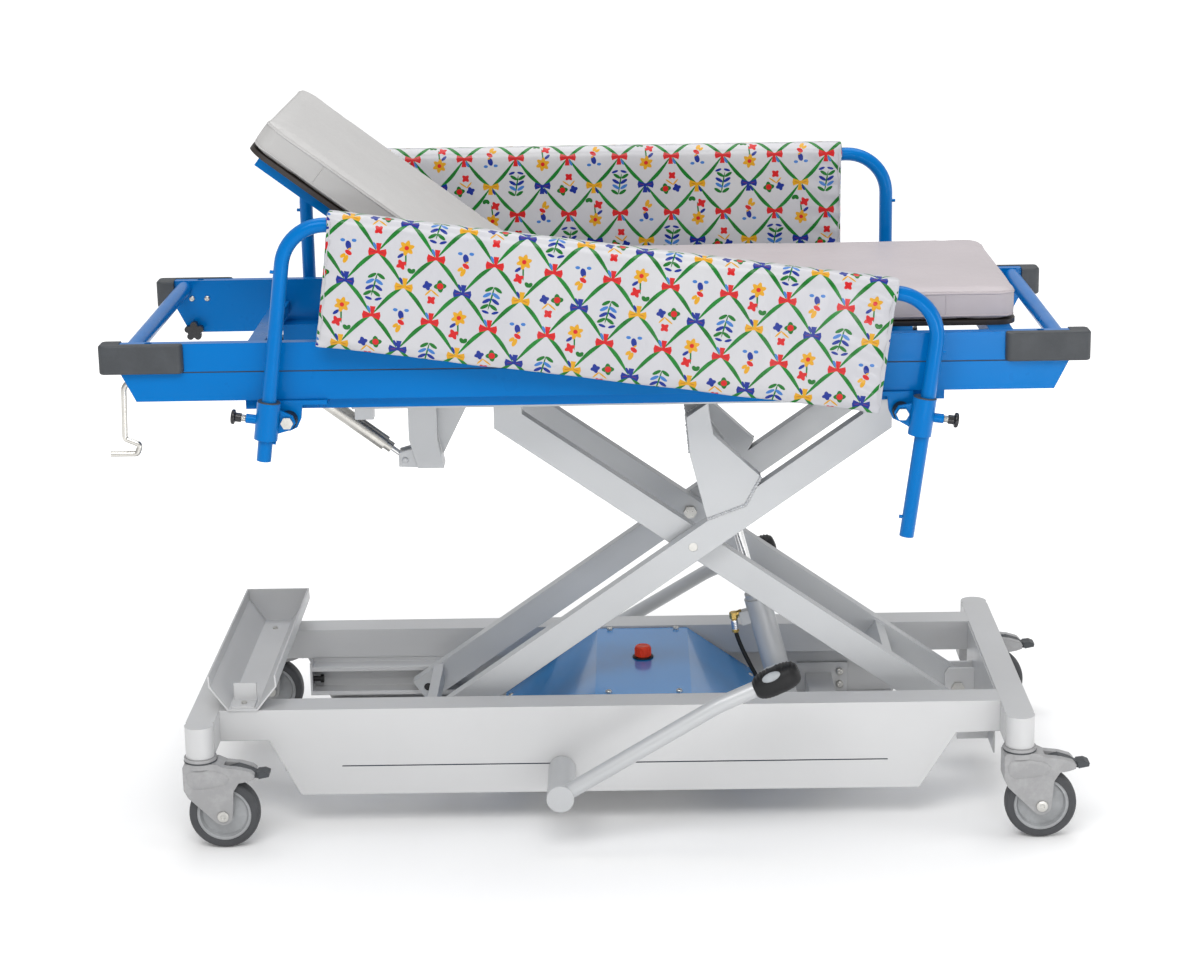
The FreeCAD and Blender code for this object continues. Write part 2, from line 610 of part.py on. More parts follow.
def rail_pivot_bolts():
    """Rubber bush and hexagon bolt at each side rail pivot."""
    bush = rod_y(BOLT_X, BOLT_Z, 15, 305, 324.6)
    shank = rod_y(BOLT_X, BOLT_Z, 5.9, 292, 334)
    head = hex_head(BOLT_X, BOLT_Z, 19, 331.4, 340)
    nut = hex_head(BOLT_X, BOLT_Z, 16, 287, 297)
    bolt = join([bush, shank, head, nut])
    four = [bolt, mirror_y(bolt)]
    return Part.makeCompound(four + [shape.mirror(V(0, 0, 0), V(1, 0, 0)) for shape in four])


def rounded_slab(x0, x1, half, z0, z1, r):
    slab = box(x0, x1, -half, half, z0, z1)
    upright = [e for e in slab.Edges if abs(e.Vertexes[0].Z - e.Vertexes[1].Z) > (z1 - z0) / 2]
    return slab.makeFillet(r, upright)


def seat_board():
    return rounded_slab(-146, 722, PAD_HALF - 4, BOARD_Z, BOARD_Z + BOARD_T, 34)


def seat_mattress():
    """Seat pad, its head end cut back so that the backrest pad can lean towards it."""
    low = BOARD_Z + BOARD_T + 0.3
    high = low + PAD_T
    pad = rounded_slab(-180, PAD_END, PAD_HALF, low, high, 30)
    back = PAD_T * math.tan(math.radians(26))
    return pad.cut(plate_y([(-200, low - 1), (-148, low - 1), (-148 + back, high + 1), (-200, high + 1)],
                           -PAD_HALF - 1, PAD_HALF + 1))


# ---- backrest, built lying flat and then raised -------------------------------------------------
def raised(shape):
    return turn_y(shape, HINGE, BACK_ANGLE)


def backrest_frame():
    """Tube frame that carries the backrest board, with hinge sleeves and a strut lug."""
    x0 = HINGE[0] - 510
    solids = []
    for y in (-206, 186):
        solids.append(box_tube(x0, HINGE[0] - 4, y, y + 20, 878, 900, 2))
    for x in (x0, HINGE[0] - 216):
        solids.append(box_tube(x, x + 22, -206, 206, 878, 900, 2))
    sleeves = [rod_y(HINGE[0], HINGE[1], 10, y, y + 27) for y in (-213.6, 186.6)]
    pin_x = HINGE[0] - 170
    lug = [(pin_x + 24, 895), (pin_x - 25, 895), (pin_x - 25, 880), (pin_x - 9, 866),
           (pin_x + 9, 866), (pin_x + 24, 884)]
    lugs = [plate_y(lug, y, y + 5) for y in (STAY_Y - 21, STAY_Y + 16)]
    bar = box_tube(pin_x - 26, pin_x + 24, STAY_Y - 30, STAY_Y + 30, 894, 900, 1.5)
    side_bars = [box_tube(pin_x - 26, pin_x + 30, STAY_Y + s, STAY_Y + s + 8, 878, 900, 2)
                 for s in (-30, 22)]
    frame = join(solids + sleeves + [bar] + lugs + side_bars)
    frame = frame.cut(rod_y(HINGE[0], HINGE[1], 7 + FIT, -230, 230))
    pin = rod_y(pin_x, HINGE[1] - 18, 4, STAY_Y - 22, STAY_Y + 22)
    return raised(frame.fuse(pin))


def backrest_board():
    x0 = HINGE[0] - BACK_LEN + 6
    return raised(rounded_slab(x0, HINGE[0] - 8, PAD_HALF - 4, BOARD_Z, BOARD_Z + BOARD_T, 34))


def backrest_mattress():
    """Backrest pad, cut back at the hinge to match the seat pad."""
    low = BOARD_Z + BOARD_T + 0.3
    high = low + PAD_T
    x1 = HINGE[0] - 6
    pad = rounded_slab(HINGE[0] - BACK_LEN, x1 + 40, PAD_HALF, low, high, 30)
    back = PAD_T * math.tan(math.radians(26))
    cut = plate_y([(x1, low - 1), (x1 - back, high + 1), (x1 + 60, high + 1), (x1 + 60, low - 1)],
                  -PAD_HALF - 1, PAD_HALF + 1)
    return raised(pad.cut(cut))


def stay_top():
    """The backrest strut's upper pin with the backrest raised."""
    a = math.radians(BACK_ANGLE)
    dx, dz = -170.0, -18.0
    return (HINGE[0] + dx * math.cos(a) + dz * math.sin(a), HINGE[1] + dz * math.cos(a) - dx * math.sin(a))


def backrest_strut_barrel():
    """Lower half of the backrest's gas strut."""
    top = stay_top()
    eye = rod_y(STAY_LOW[0], STAY_LOW[1], 12, STAY_Y - 8, STAY_Y + 8)
    tube = rod_between(STAY_LOW, top, STAY_Y, 9.5, 8, 146)
    body = join([eye, tube])
    body = body.cut(rod_between(STAY_LOW, top, STAY_Y, 7.5, 12.5, 140))
    body = body.cut(rod_between(STAY_LOW, top, STAY_Y, 4 + FIT, 139, 147))
    return body.cut(rod_y(STAY_LOW[0], STAY_LOW[1], 4 + FIT, STAY_Y - 12, STAY_Y + 12))


def backrest_strut_rod():
    """Rod of the backrest's gas strut with a roomy upper eye."""
    top = stay_top()
    length = math.hypot(top[0] - STAY_LOW[0], top[1] - STAY_LOW[1])
    rod = rod_between(STAY_LOW, top, STAY_Y, 4, 103, length - 9)
    piston = rod_between(STAY_LOW, top, STAY_Y, 7.5 - FIT, 100, 106)
    eye = rod_y(top[0], top[1], 12, STAY_Y - 8, STAY_Y + 8)
    return join([rod, piston, eye]).cut(rod_y(top[0], top[1], 9.5, STAY_Y - 9, STAY_Y + 9))


# ---- side rails -----------------------------------------------------------------------------
def side_rail(play):
    """Far-side rail bent from one tube, level and raised, with its stop pins."""
    left = -SLEEVE_X
    right = SLEEVE_X - play
    route = [V(left, SIDE_Y, SIDE_BOTTOM), V(left, SIDE_Y, SIDE_TOP), V(right, SIDE_Y, SIDE_TOP),
             V(right, SIDE_Y, SIDE_BOTTOM)]
    tube = bent_rod(route, [SIDE_BEND, SIDE_BEND], SIDE_TUBE_R)
    hollow = [route[0] + V(0, 0, SIDE_WALL)] + route[1:3] + [route[3] + V(0, 0, SIDE_WALL)]
    tube = tube.cut(bent_rod(hollow, [SIDE_BEND, SIDE_BEND], SIDE_TUBE_R - SIDE_WALL))
    pins = []
    for x, outward in ((left, -1), (right, 1)):
        for z, way in ((1023, outward), (731, -outward)):
            x0, x1 = sorted((x + way * 11, x + way * 18))
            pins.append(rod_x(SIDE_Y, z, 3, x0, x1))
    return join([tube] + pins)


def rail_cover(x0, x1):
    """Padded cover folded over a side rail's top tube, thicker at the fold than at its hem."""
    top = SIDE_TOP + 30
    low = top - 240
    section = [(310, top - 12), (322, top), (346, top), (357, top - 12), (356, low + 20), (350, low),
               (318, low), (311, low + 20)]
    points = [V(x0, y, z) for y, z in section]
    pad = Part.Face(Part.makePolygon(points + [points[0]])).extrude(V(x1 - x0, 0, 0))
    return pad.cut(rod_x(SIDE_Y, SIDE_TOP, SIDE_TUBE_R + 1.2, x0 - 1, x1 + 1))


def sleeve(x_sign, bore):
    """Far-side pivoting sleeve with its ear plate and plunger boss, level."""
    x = x_sign * SLEEVE_X
    low = BOLT_Z - SLEEVE_H / 2
    high = BOLT_Z + SLEEVE_H / 2
    tube = rod_z(x, SIDE_Y, SLEEVE_R, low, high)
    ear = plate_y([(x_sign * 550, high - 8), (x_sign * (BOLT_X - 8), BOLT_Z + 12),
                   (x_sign * (BOLT_X - 14), BOLT_Z), (x_sign * (BOLT_X - 8), BOLT_Z - 12),
                   (x_sign * 550, low + 4)], 325, 331)
    x0, x1 = sorted((x + x_sign * 10, x + x_sign * 36))
    boss = rod_x(SIDE_Y, BOLT_Z, 8, x0, x1)
    body = join([tube, ear, boss])
    body = body.cut(rod_z(x, SIDE_Y, bore, low - 1, high + 1))
    body = body.cut(rod_y(BOLT_X * x_sign, BOLT_Z, 6, 324, 332))
    x0, x1 = sorted((x, x + x_sign * 40))
    return body.cut(rod_x(SIDE_Y, BOLT_Z, 4 + FIT, x0, x1))


def plunger(x_sign, tip):
    """Far-side spring plunger: pin, steel neck and mushroom knob, level."""
    x = x_sign * SLEEVE_X
    spans = ((4, tip, 37), (6, 36.3, 44), (7.5, 44, 55), (12.5, 55, 62))
    solids = []
    for r, start, end in spans:
        x0, x1 = sorted((x + x_sign * start, x + x_sign * end))
        solids.append(rod_x(SIDE_Y, BOLT_Z, r, x0, x1))
    return join(solids)


def near(shape, pivot_x):
    """Mirror a level far-side piece to the near side and tip it about one of the near pivots."""
    return turn_y(mirror_y(shape), (pivot_x, BOLT_Z), NEAR_TILT)


def side_rail_nodes():
    """All side rail pieces by node name."""
    left_bore = SIDE_TUBE_R + 0.08
    near_bore = SIDE_TUBE_R + NEAR_PLAY + 0.4
    far_bore = SIDE_TUBE_R + FAR_PLAY + 0.4
    nodes = {
        "side_rail_far": side_rail(FAR_PLAY),
        "side_rail_near": near(side_rail(NEAR_PLAY), -BOLT_X),
        "rail_cover_far": rail_cover(-470, 470),
        "rail_cover_near": near(rail_cover(-487, 474), -BOLT_X),
        "sleeve_far_head": sleeve(-1, left_bore),
        "sleeve_far_foot": sleeve(1, far_bore),
        "sleeve_near_head": near(sleeve(-1, left_bore), -BOLT_X),
        "sleeve_near_foot": near(sleeve(1, near_bore), BOLT_X),
        "plunger_far_head": plunger(-1, SIDE_TUBE_R + 0.5),
        "plunger_far_foot": plunger(1, far_bore + 0.3),
        "plunger_near_head": near(plunger(-1, SIDE_TUBE_R + 0.5), -BOLT_X),
        "plunger_near_foot": near(plunger(1, near_bore + 0.3), BOLT_X),
    }
    return nodes


# ---- small parts on the platform ------------------------------------------------------------
def drip_pole():
    """Drip pole stowed along the near rail: a thick stem, and a thin end bent into a hook."""
    y, z = -262, 827
    stem = rod_x(y, z, 6, -600, -60)
    route = [V(-596, y, z), V(-806, y, z), V(-810, y, 727), V(-784, y, 716), V(-790, y, 700), V(-836, y, 700)]
    hook = bent_rod(route, [16, 6, 6, 6], 5)
    return join([stem, hook])


def star_knob():
    """Five-lobed clamping knob on the inside of the far rail."""
    x, z = -768, 806
    lobes = []
    for k in range(5):
        a = math.radians(90 + 72 * k)
        lobes.append(rod_y(x + 12 * math.cos(a), z + 12 * math.sin(a), 6.5, 254, 268))
    return join([rod_y(x, z, 12.5, 254, 268), rod_y(x, z, 8, 268, 277.6)] + lobes)


# ---- write every node -----------------------------------------------------------------------
def caster_nodes():
    """The four casters, each a fork, a wheel and a brake rocker."""
    nodes = {}
    places = {"head_near": (CASTER_HEAD_X, -CASTER_Y), "head_far": (CASTER_HEAD_X, CASTER_Y),
              "foot_near": (CASTER_FOOT_X, -CASTER_Y), "foot_far": (CASTER_FOOT_X, CASTER_Y)}
    for place, (x, y) in places.items():
        for kind, make in (("fork", caster_fork), ("wheel", caster_wheel), ("brake", caster_brake)):
            shape = make()
            shape.translate(V(x, y, 0))
            nodes["caster_%s_%s" % (kind, place)] = shape
    return nodes


def all_nodes():
    channel = side_channel()
    rail = platform_rail()
    nodes = {
        "base_side_channels": both_sides(channel),
        "base_crossbars": Part.makeCompound([crossbar(CASTER_HEAD_X), crossbar(CASTER_FOOT_X)]),
        "roller_tracks": both_sides(roller_track()),
        "base_brackets": base_brackets(),
        "pump_cover": pump_cover(),
        "pump_unit": pump_unit(),
        "filler_cap": filler_cap(),
        "gas_bottle_tray": gas_bottle_tray(),
        "base_fasteners": base_fasteners(),
        "inner_arms": inner_arms(),
        "outer_arms": outer_arms(),
        "lift_pivot_bolts": lift_pivot_bolts(),
        "lower_rollers": lower_rollers(),
        "upper_rollers": upper_rollers(),
        "cylinder_barrel": cylinder_barrel(),
        "cylinder_rod": cylinder_rod(),
        "hydraulic_hose": hydraulic_hose(),
        "pump_pedals": pump_pedals(),
        "pedal_pads": pedal_pads(),
        "tilt_subframe": tilt_subframe(),
        "tilt_strut_rod": tilt_strut_rod(),
        "tilt_strut_barrel": tilt_strut_barrel(),
        "platform_side_rails": both_sides(rail),
        "platform_cross_tubes": platform_cross_tubes(),
        "corner_bumpers": corner_bumpers(),
        "side_rail_brackets": rail_brackets(),
        "rail_pivot_bolts": rail_pivot_bolts(),
        "seat_board": seat_board(),
        "seat_mattress": seat_mattress(),
        "backrest_frame": backrest_frame(),
        "backrest_board": backrest_board(),
        "backrest_mattress": backrest_mattress(),
        "backrest_strut_barrel": backrest_strut_barrel(),
        "backrest_strut_rod": backrest_strut_rod(),
        "drip_pole": drip_pole(),
        "star_knob": star_knob(),
    }
    nodes.update(side_rail_nodes())
    nodes.update(caster_nodes())
    return nodes


os.makedirs("parts", exist_ok=True)
for name, shape in all_nodes().items():
    shape.exportStep("parts/%s.step" % name)
    print(name, len(shape.Solids), shape.isValid(), round(shape.Volume / 1000, 1))
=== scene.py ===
import json
import math

import bmesh
import bpy
import numpy as np
from mathutils import Matrix, Vector, noise
from mathutils.bvhtree import BVHTree


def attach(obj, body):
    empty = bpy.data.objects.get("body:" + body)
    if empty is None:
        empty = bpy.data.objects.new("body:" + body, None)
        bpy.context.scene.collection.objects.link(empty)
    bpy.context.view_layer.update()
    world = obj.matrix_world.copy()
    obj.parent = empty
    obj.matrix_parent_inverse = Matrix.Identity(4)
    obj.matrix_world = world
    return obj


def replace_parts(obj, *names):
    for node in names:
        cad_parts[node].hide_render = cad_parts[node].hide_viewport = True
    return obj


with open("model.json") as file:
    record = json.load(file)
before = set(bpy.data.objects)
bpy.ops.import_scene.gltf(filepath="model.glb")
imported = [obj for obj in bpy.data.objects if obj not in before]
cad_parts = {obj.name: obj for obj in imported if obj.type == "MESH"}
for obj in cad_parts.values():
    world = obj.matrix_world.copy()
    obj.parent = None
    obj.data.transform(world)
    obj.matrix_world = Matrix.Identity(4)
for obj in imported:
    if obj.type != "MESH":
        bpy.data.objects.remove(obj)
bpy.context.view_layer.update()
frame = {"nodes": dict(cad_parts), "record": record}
NODES = frame["nodes"]

# ---- places that several pieces share, in metres, as the CAD part has them ------------------------
HINGE = Vector((-0.157, 0, 0.890))
BACK_ANGLE = math.radians(37.1)
NEAR_TILT = math.radians(7.8)
BOLT_X, BOLT_Z = 0.5195, 0.768
SLEEVE_X, SIDE_Y, SLEEVE_H = 0.553, 0.334, 0.065
SIDE_TOP = 1.113
COVER_TOP, COVER_LOW = 1.143, 0.903
PAD_LOW, PAD_TOP, PAD_HALF = 0.9083, 0.9613, 0.250
PEDAL_Y = 0.388
CASTERS = {"head_near": (-0.702, -0.325), "head_far": (-0.702, 0.325),
           "foot_near": (0.732, -0.325), "foot_far": (0.732, 0.325)}
TRAIL, WHEEL_R = 0.038, 0.0625
BACK_CUT = math.radians(26)
PEDAL_CENTRE_X, PEDAL_CENTRE_Z, PEDAL_LEAN = 0.304, 0.316, math.radians(-24)
VOXEL = 0.006


# ---- node materials -------------------------------------------------------------------------------
class Sum:
    """A number in a node tree that ordinary arithmetic can be written with."""

    def __init__(self, tree, socket):
        self.tree, self.socket = tree, socket

    def op(self, operation, other=None, third=None):
        node = self.tree.nodes.new("ShaderNodeMath")
        node.operation = operation
        for slot, value in enumerate((self, other, third)):
            if isinstance(value, Sum):
                self.tree.links.new(value.socket, node.inputs[slot])
            elif value is not None:
                node.inputs[slot].default_value = value
        return Sum(self.tree, node.outputs[0])

    def __add__(self, other):
        return self.op("ADD", other)

    def __sub__(self, other):
        return self.op("SUBTRACT", other)

    def __mul__(self, other):
        return self.op("MULTIPLY", other)

    def __lt__(self, other):
        return self.op("LESS_THAN", other)

    def __gt__(self, other):
        return self.op("GREATER_THAN", other)


class Look:
    """One Principled material, built a node at a time."""

    def __init__(self, name, colour, **sockets):
        self.mat = bpy.data.materials.new(name)
        self.mat.use_nodes = True
        self.tree = self.mat.node_tree
        self.shader = self.tree.nodes["Principled BSDF"]
        self.colour = (*colour, 1)
        self.shader.inputs["Base Color"].default_value = self.colour
        for key, value in sockets.items():
            self.shader.inputs[key.replace("_", " ")].default_value = value
        self.place = self.tree.nodes.new("ShaderNodeTexCoord").outputs["Object"]
        self.normal = None

    def node(self, kind, **values):
        made = self.tree.nodes.new(kind)
        for key, value in values.items():
            key = key.replace("_", " ")
            if isinstance(value, Sum):
                value = value.socket
            if isinstance(value, bpy.types.NodeSocket):
                self.tree.links.new(value, made.inputs[key])
            else:
                made.inputs[key].default_value = value
        return made

    def number(self, socket):
        return Sum(self.tree, socket)

    def noise(self, scale, detail=2.0, rough=0.5, stretch=None):
        vector = self.place
        if stretch:
            vector = self.node("ShaderNodeMapping", Vector=vector, Scale=stretch).outputs[0]
        made = self.node("ShaderNodeTexNoise", Vector=vector, Scale=scale, Detail=detail, Roughness=rough)
        return self.number(made.outputs["Fac"])

    def spread(self, value, low, high, to_low=0.0, to_high=1.0):
        made = self.node("ShaderNodeMapRange", Value=value)
        for slot, number in zip(("From Min", "From Max", "To Min", "To Max"), (low, high, to_low, to_high)):
            made.inputs[slot].default_value = number
        return self.number(made.outputs[0])

    def mix(self, factor, first, second):
        made = self.tree.nodes.new("ShaderNodeMix")
        made.data_type = "RGBA"
        for slot, value in ((0, factor), (6, first), (7, second)):
            if isinstance(value, Sum):
                value = value.socket
            if isinstance(value, bpy.types.NodeSocket):
                self.tree.links.new(value, made.inputs[slot])
            elif slot:
                made.inputs[slot].default_value = (*value[:3], 1)
            else:
                made.inputs[slot].default_value = value
        return made.outputs[2]

    def shaded(self, factor):
        return tuple(min(1.0, c * factor) for c in self.colour[:3])

    def set(self, name, value):
        self.tree.links.new(value.socket if isinstance(value, Sum) else value, self.shader.inputs[name])

    def bump(self, height, strength, distance):
        made = self.node("ShaderNodeBump", Height=height, Strength=strength, Distance=distance)
        if self.normal is not None:
            self.tree.links.new(self.normal, made.inputs["Normal"])
        self.normal = made.outputs[0]
        self.tree.links.new(self.normal, self.shader.inputs["Normal"])

    def soft_edges(self, radius):
        """Rounds hard edges in the shading and gives back how much of an edge a point is."""
        bevel = self.node("ShaderNodeBevel", Radius=radius)
        bevel.samples = 4
        self.normal = bevel.outputs[0]
        self.tree.links.new(self.normal, self.shader.inputs["Normal"])
        flat = self.tree.nodes.new("ShaderNodeNewGeometry").outputs["Normal"]
        dot = self.tree.nodes.new("ShaderNodeVectorMath")
        dot.operation = "DOT_PRODUCT"
        self.tree.links.new(self.normal, dot.inputs[0])
        self.tree.links.new(flat, dot.inputs[1])
        return self.spread(self.number(dot.outputs["Value"]), 0.99, 0.8)


def paint(name, colour, rough=0.3, peel=0.05, edge=0.0018, wear=0.18, vary=0.05, dust=0.03, **sockets):
    """Sprayed paint: faint cloudiness, orange peel, edges slightly thin and dull."""
    look = Look(name, colour, **sockets)
    rim = look.soft_edges(edge)
    cloud = look.spread(look.noise(2.6, 4), 0.3, 0.7)
    base = look.mix(cloud, look.shaded(1 - vary), look.shaded(1 + vary))
    grain = look.spread(look.noise(55, 3), 0.4, 0.75)
    worn = look.mix(rim * grain * wear, base, look.shaded(1.5))
    film = look.spread(look.noise(8, 5, 0.65), 0.5, 0.8)
    look.set("Base Color", look.mix(film * dust, worn, (0.62, 0.6, 0.57)))
    look.set("Roughness", look.spread(look.noise(14, 4, 0.6), 0.25, 0.75, rough - 0.05, rough + 0.08))
    look.bump(look.noise(420, 2), peel, 0.0006)
    return look.mat


def metal(name, colour, rough, streak=(1, 1, 1), marks=0.12):
    """Bare or plated metal, faintly stained, its brushing drawn out across streak."""
    look = Look(name, colour, Metallic=1.0)
    look.soft_edges(0.0006)
    stain = look.spread(look.noise(40, 4, 0.6), 0.35, 0.75)
    look.set("Base Color", look.mix(stain, look.shaded(0.86), look.shaded(1.06)))
    lines = look.noise(260, 3, 0.6, streak)
    look.set("Roughness", look.spread(lines, 0.3, 0.7, rough - 0.06, rough + 0.1))
    look.bump(lines, marks, 0.0002)
    return look.mat


def moulded(name, colour, rough, grain=900, depth=0.25, edge=0.001, **sockets):
    """Moulded plastic or rubber: fine spark grain, scuffed paler on its edges."""
    look = Look(name, colour, **sockets)
    rim = look.soft_edges(edge)
    scuff = look.spread(look.noise(30, 5, 0.7), 0.45, 0.8)
    base = look.mix(scuff, look.shaded(0.88), look.shaded(1.16))
    look.set("Base Color", look.mix(rim * scuff * 0.4, base, look.shaded(1.9)))
    look.set("Roughness", look.spread(look.noise(22, 4), 0.3, 0.7, rough - 0.06, rough + 0.08))
    look.bump(look.noise(grain, 2), depth, 0.0004)
    return look.mat


def vinyl(name, colour):
    """Upholstery vinyl: leather-like pebble, soft creases and a low sheen."""
    look = Look(name, colour, Coat_Weight=0.08, Coat_Roughness=0.45, Sheen_Weight=0.08)
    cloud = look.spread(look.noise(5, 4, 0.6), 0.3, 0.75)
    look.set("Base Color", look.mix(cloud, look.shaded(0.95), look.shaded(1.04)))
    cells = look.node("ShaderNodeTexVoronoi", Vector=look.place, Scale=620.0)
    look.set("Roughness", look.spread(look.noise(18, 4), 0.3, 0.7, 0.42, 0.56))
    look.bump(look.noise(9, 3, 0.55), 0.35, 0.006)
    look.bump(look.number(cells.outputs["Distance"]), 0.22, 0.0003)
    return look.mat


RED, YELLOW = (0.46, 0.006, 0.008), (0.52, 0.26, 0.006)
BLUE, GREEN = (0.003, 0.018, 0.20), (0.002, 0.115, 0.010)
SKY = (0.035, 0.14, 0.40)
CELL_W, CELL_H = 0.0976, 0.107
MOTIF_SIZE = 1.25


def petals(tint, x, y, long, short, count, first=0.0):
    """Long ovals crossed at one point, which read as a flower with twice as many petals."""
    return [(tint, x, y, long, short, first + 180.0 * k / count) for k in range(count)]


# small generic motifs, each a list of ovals: colour, centre x and y, half sizes, turn, in mm and degrees
BLOOM = [(GREEN, 1, 3, 1.1, 12, 6), (GREEN, -6, 20, 2.8, 4.0, 40), (GREEN, -10, 20, 2.8, 4.0, -40),
         (BLUE, 8, 1, 5, 2.2, 40)]
BLOOM += petals(RED, 6, 13, 7.4, 3.2, 2, 30) + petals(YELLOW, 1, -10, 10.5, 3.8, 3, 20)
BLOOM += [(RED, 1, -10, 3, 3, 0)]
SPRIG = [(GREEN, 0, 1, 1.1, 16, -10)]
SPRIG += [(tint, side * 6.0 + lean, high, 6.2, 2.4, side * 32)
          for high, tint, lean in ((-11, GREEN, -2), (-3, SKY, 0), (5, BLUE, 0), (13, GREEN, 2))
          for side in (-1, 1)]
SPRIG += [(BLUE, -7, 20, 5, 1.9, 20), (BLUE, 6, 20, 5, 1.9, -15)]
POSY = petals(BLUE, 8, -6, 6.6, 3.4, 2, 20) + petals(GREEN, -9, -7, 8.4, 4.2, 2, 10)
POSY += [(RED, -9, -7, 4.2, 4.2, 0), (YELLOW, -3, 3, 7.0, 1.2, -35), (YELLOW, 6, 3, 6.0, 1.2, 50)]
POSY += petals(RED, 1, 13, 6.4, 3.0, 2, 45)
TULIP = [(YELLOW, 2, 14, 3.0, 5.8, -22), (YELLOW, 6, 10, 2.4, 4.2, -50), (RED, -1, 5, 5.0, 3.0, -30)]
TULIP += [(BLUE, 0, -5, 3.8, 6.0, 15), (YELLOW, -2, 0, 2.4, 1.2, 30), (SKY, -7, -12, 3.2, 2.2, 0),
          (SKY, 8, -11, 3.2, 2.2, 0)]


def printed_cover():
    """White glossy print: a lattice of green ribbons, bows at its knots and a motif in each cell."""
    look = Look("cover_print", (0.83, 0.83, 0.86), Roughness=0.34, Specular_IOR_Level=0.18, Coat_Weight=0.22,
                Coat_Roughness=0.12)
    uv = look.node("ShaderNodeSeparateXYZ", Vector=look.tree.nodes.new("ShaderNodeUVMap").outputs[0])
    across, up = look.number(uv.outputs[0]) * (1 / CELL_W), look.number(uv.outputs[1]) * (1 / CELL_H)
    local, count = {}, {}
    for axis, value, size in (("u", across, CELL_W), ("v", up, CELL_H)):
        for kind, shift in (("r", 0.5), ("a", 1.0)):
            whole = (value + shift).op("FLOOR")
            count[axis + kind] = whole
            local[axis + kind] = (value + (shift - 0.5) - whole) * (size * 1000)
    colour = look.mix(look.spread(look.noise(3, 3), 0.35, 0.7), (0.415, 0.415, 0.445), (0.47, 0.47, 0.48))

    def oval(vector, x, y, rx, ry, turn):
        place = look.node("ShaderNodeMapping", Vector=vector, Location=(x, y, 0),
                          Rotation=(0, 0, math.radians(turn)), Scale=(rx, ry, 1))
        place.vector_type = "TEXTURE"
        size = look.tree.nodes.new("ShaderNodeVectorMath")
        size.operation = "LENGTH"
        look.tree.links.new(place.outputs[0], size.inputs[0])
        return look.number(size.outputs["Value"]) < 1.0

    # green ribbons, thick half way between two bows and thin at them
    fold_u = local["ur"].op("ABSOLUTE") * (2 / (CELL_W * 1000))
    fold_v = local["vr"].op("ABSOLUTE") * (2 / (CELL_H * 1000))
    arch = (fold_u * math.pi).op("SINE")
    sag = arch * local["vr"].op("SIGN") * 0.10
    ribbon = (fold_v - fold_u + sag).op("ABSOLUTE") < arch * 0.088 + 0.007
    dark = look.spread(look.noise(60, 2), 0.4, 0.6)
    colour = look.mix(ribbon, colour, look.mix(dark, GREEN, (0.004, 0.155, 0.016)))

    def motif_oval(vector, x, y, rx, ry, turn):
        return oval(vector, *(MOTIF_SIZE * n for n in (x, y, rx, ry)), turn)

    def parity(u, v):
        return ((count[u] + count[v]) * 0.5).op("FRACT") > 0.25

    def at(u, v):
        return look.node("ShaderNodeCombineXYZ", X=local[u], Y=local[v]).outputs[0]

    # motifs, two kinds alternating in each of the two sets of cells
    for u, v, kinds in (("ur", "va", (SPRIG, POSY)), ("ua", "vr", (TULIP, BLOOM))):
        where, odd = at(u, v), parity(u, v)
        for turn, motif in enumerate(kinds):
            chosen = odd if turn else odd.op("MULTIPLY_ADD", -1.0, 1.0)
            for tint, x, y, rx, ry, angle in motif:
                colour = look.mix(motif_oval(where, x, y, rx, ry, angle) * chosen, colour, tint)

    # bows: red on one set of knots, yellow and blue in turn on the other
    for u, v in (("ur", "vr"), ("ua", "va")):
        x, y, where = local[u].op("ABSOLUTE"), local[v], at(u, v)
        loops = (y.op("ABSOLUTE") < x * 0.36 + 2.0) * (x + y.op("ABSOLUTE") * 0.25 < 15.5)
        tails = ((local[u] + 1.2).op("ABSOLUTE") < y * -0.17 + 2.0) * (y < 0.5) * (y > -15.5)
        tint = RED if u == "ur" else look.mix(parity(u, v), YELLOW, BLUE)
        colour = look.mix(oval(where, 5.0, -10.5, 2.3, 6.0, 30), colour, SKY if u == "ur" else BLUE)
        colour = look.mix(tails.op("MAXIMUM", loops), colour, tint)
        crease = oval(where, 7.5, 0, 4.6, 0.8, 12).op("MAXIMUM", oval(where, -7.5, 0, 4.6, 0.8, -12))
        colour = look.mix(crease * 0.5, colour, (0.2, 0.01, 0.02))
    look.set("Base Color", colour)
    look.set("Roughness", look.spread(look.noise(12, 4), 0.3, 0.7, 0.26, 0.42))
    look.bump(look.noise(11, 4, 0.6, (1.6, 1, 0.5)), 0.7, 0.006)
    look.bump(look.noise(70, 3, 0.6), 0.2, 0.001)
    return look.mat


GREY = paint("grey_paint", (0.47, 0.48, 0.49), 0.36, Metallic=0.2, Coat_Weight=0.25, Coat_Roughness=0.3)
SILVER = paint("grey_paint_base", (0.545, 0.548, 0.552), 0.4, Metallic=0.15, Coat_Weight=0.2,
               Coat_Roughness=0.35)
BLUE_PAINT = paint("blue_paint", (0.0, 0.125, 0.40), 0.3, dust=0.0,
                   Specular_IOR_Level=0.5, Specular_Tint=(0.0, 0.3, 0.75, 1),
                   Coat_Weight=0.16, Coat_Roughness=0.14)
BLUE_SHEET = paint("blue_cover", (0.0, 0.20, 0.53), 0.18, peel=0.03, dust=0.004, Coat_Weight=0.7,
                   Coat_Roughness=0.08)
# near-black colour for the seams' slots: painted shade, not a dark part
SEAM_SHADE = moulded("seam_painted_shade", (0.02, 0.035, 0.06), 0.7)
STEEL = metal("stainless", (0.60, 0.585, 0.55), 0.24, (1, 12, 12))
CHROME = metal("chrome", (0.82, 0.82, 0.82), 0.1, (12, 12, 1), 0.04)
ZINC = metal("zinc", (0.62, 0.61, 0.58), 0.32)
BRASS = metal("brass", (0.72, 0.50, 0.16), 0.26)
TYRE = moulded("tyre", (0.055, 0.057, 0.062), 0.62, 700)
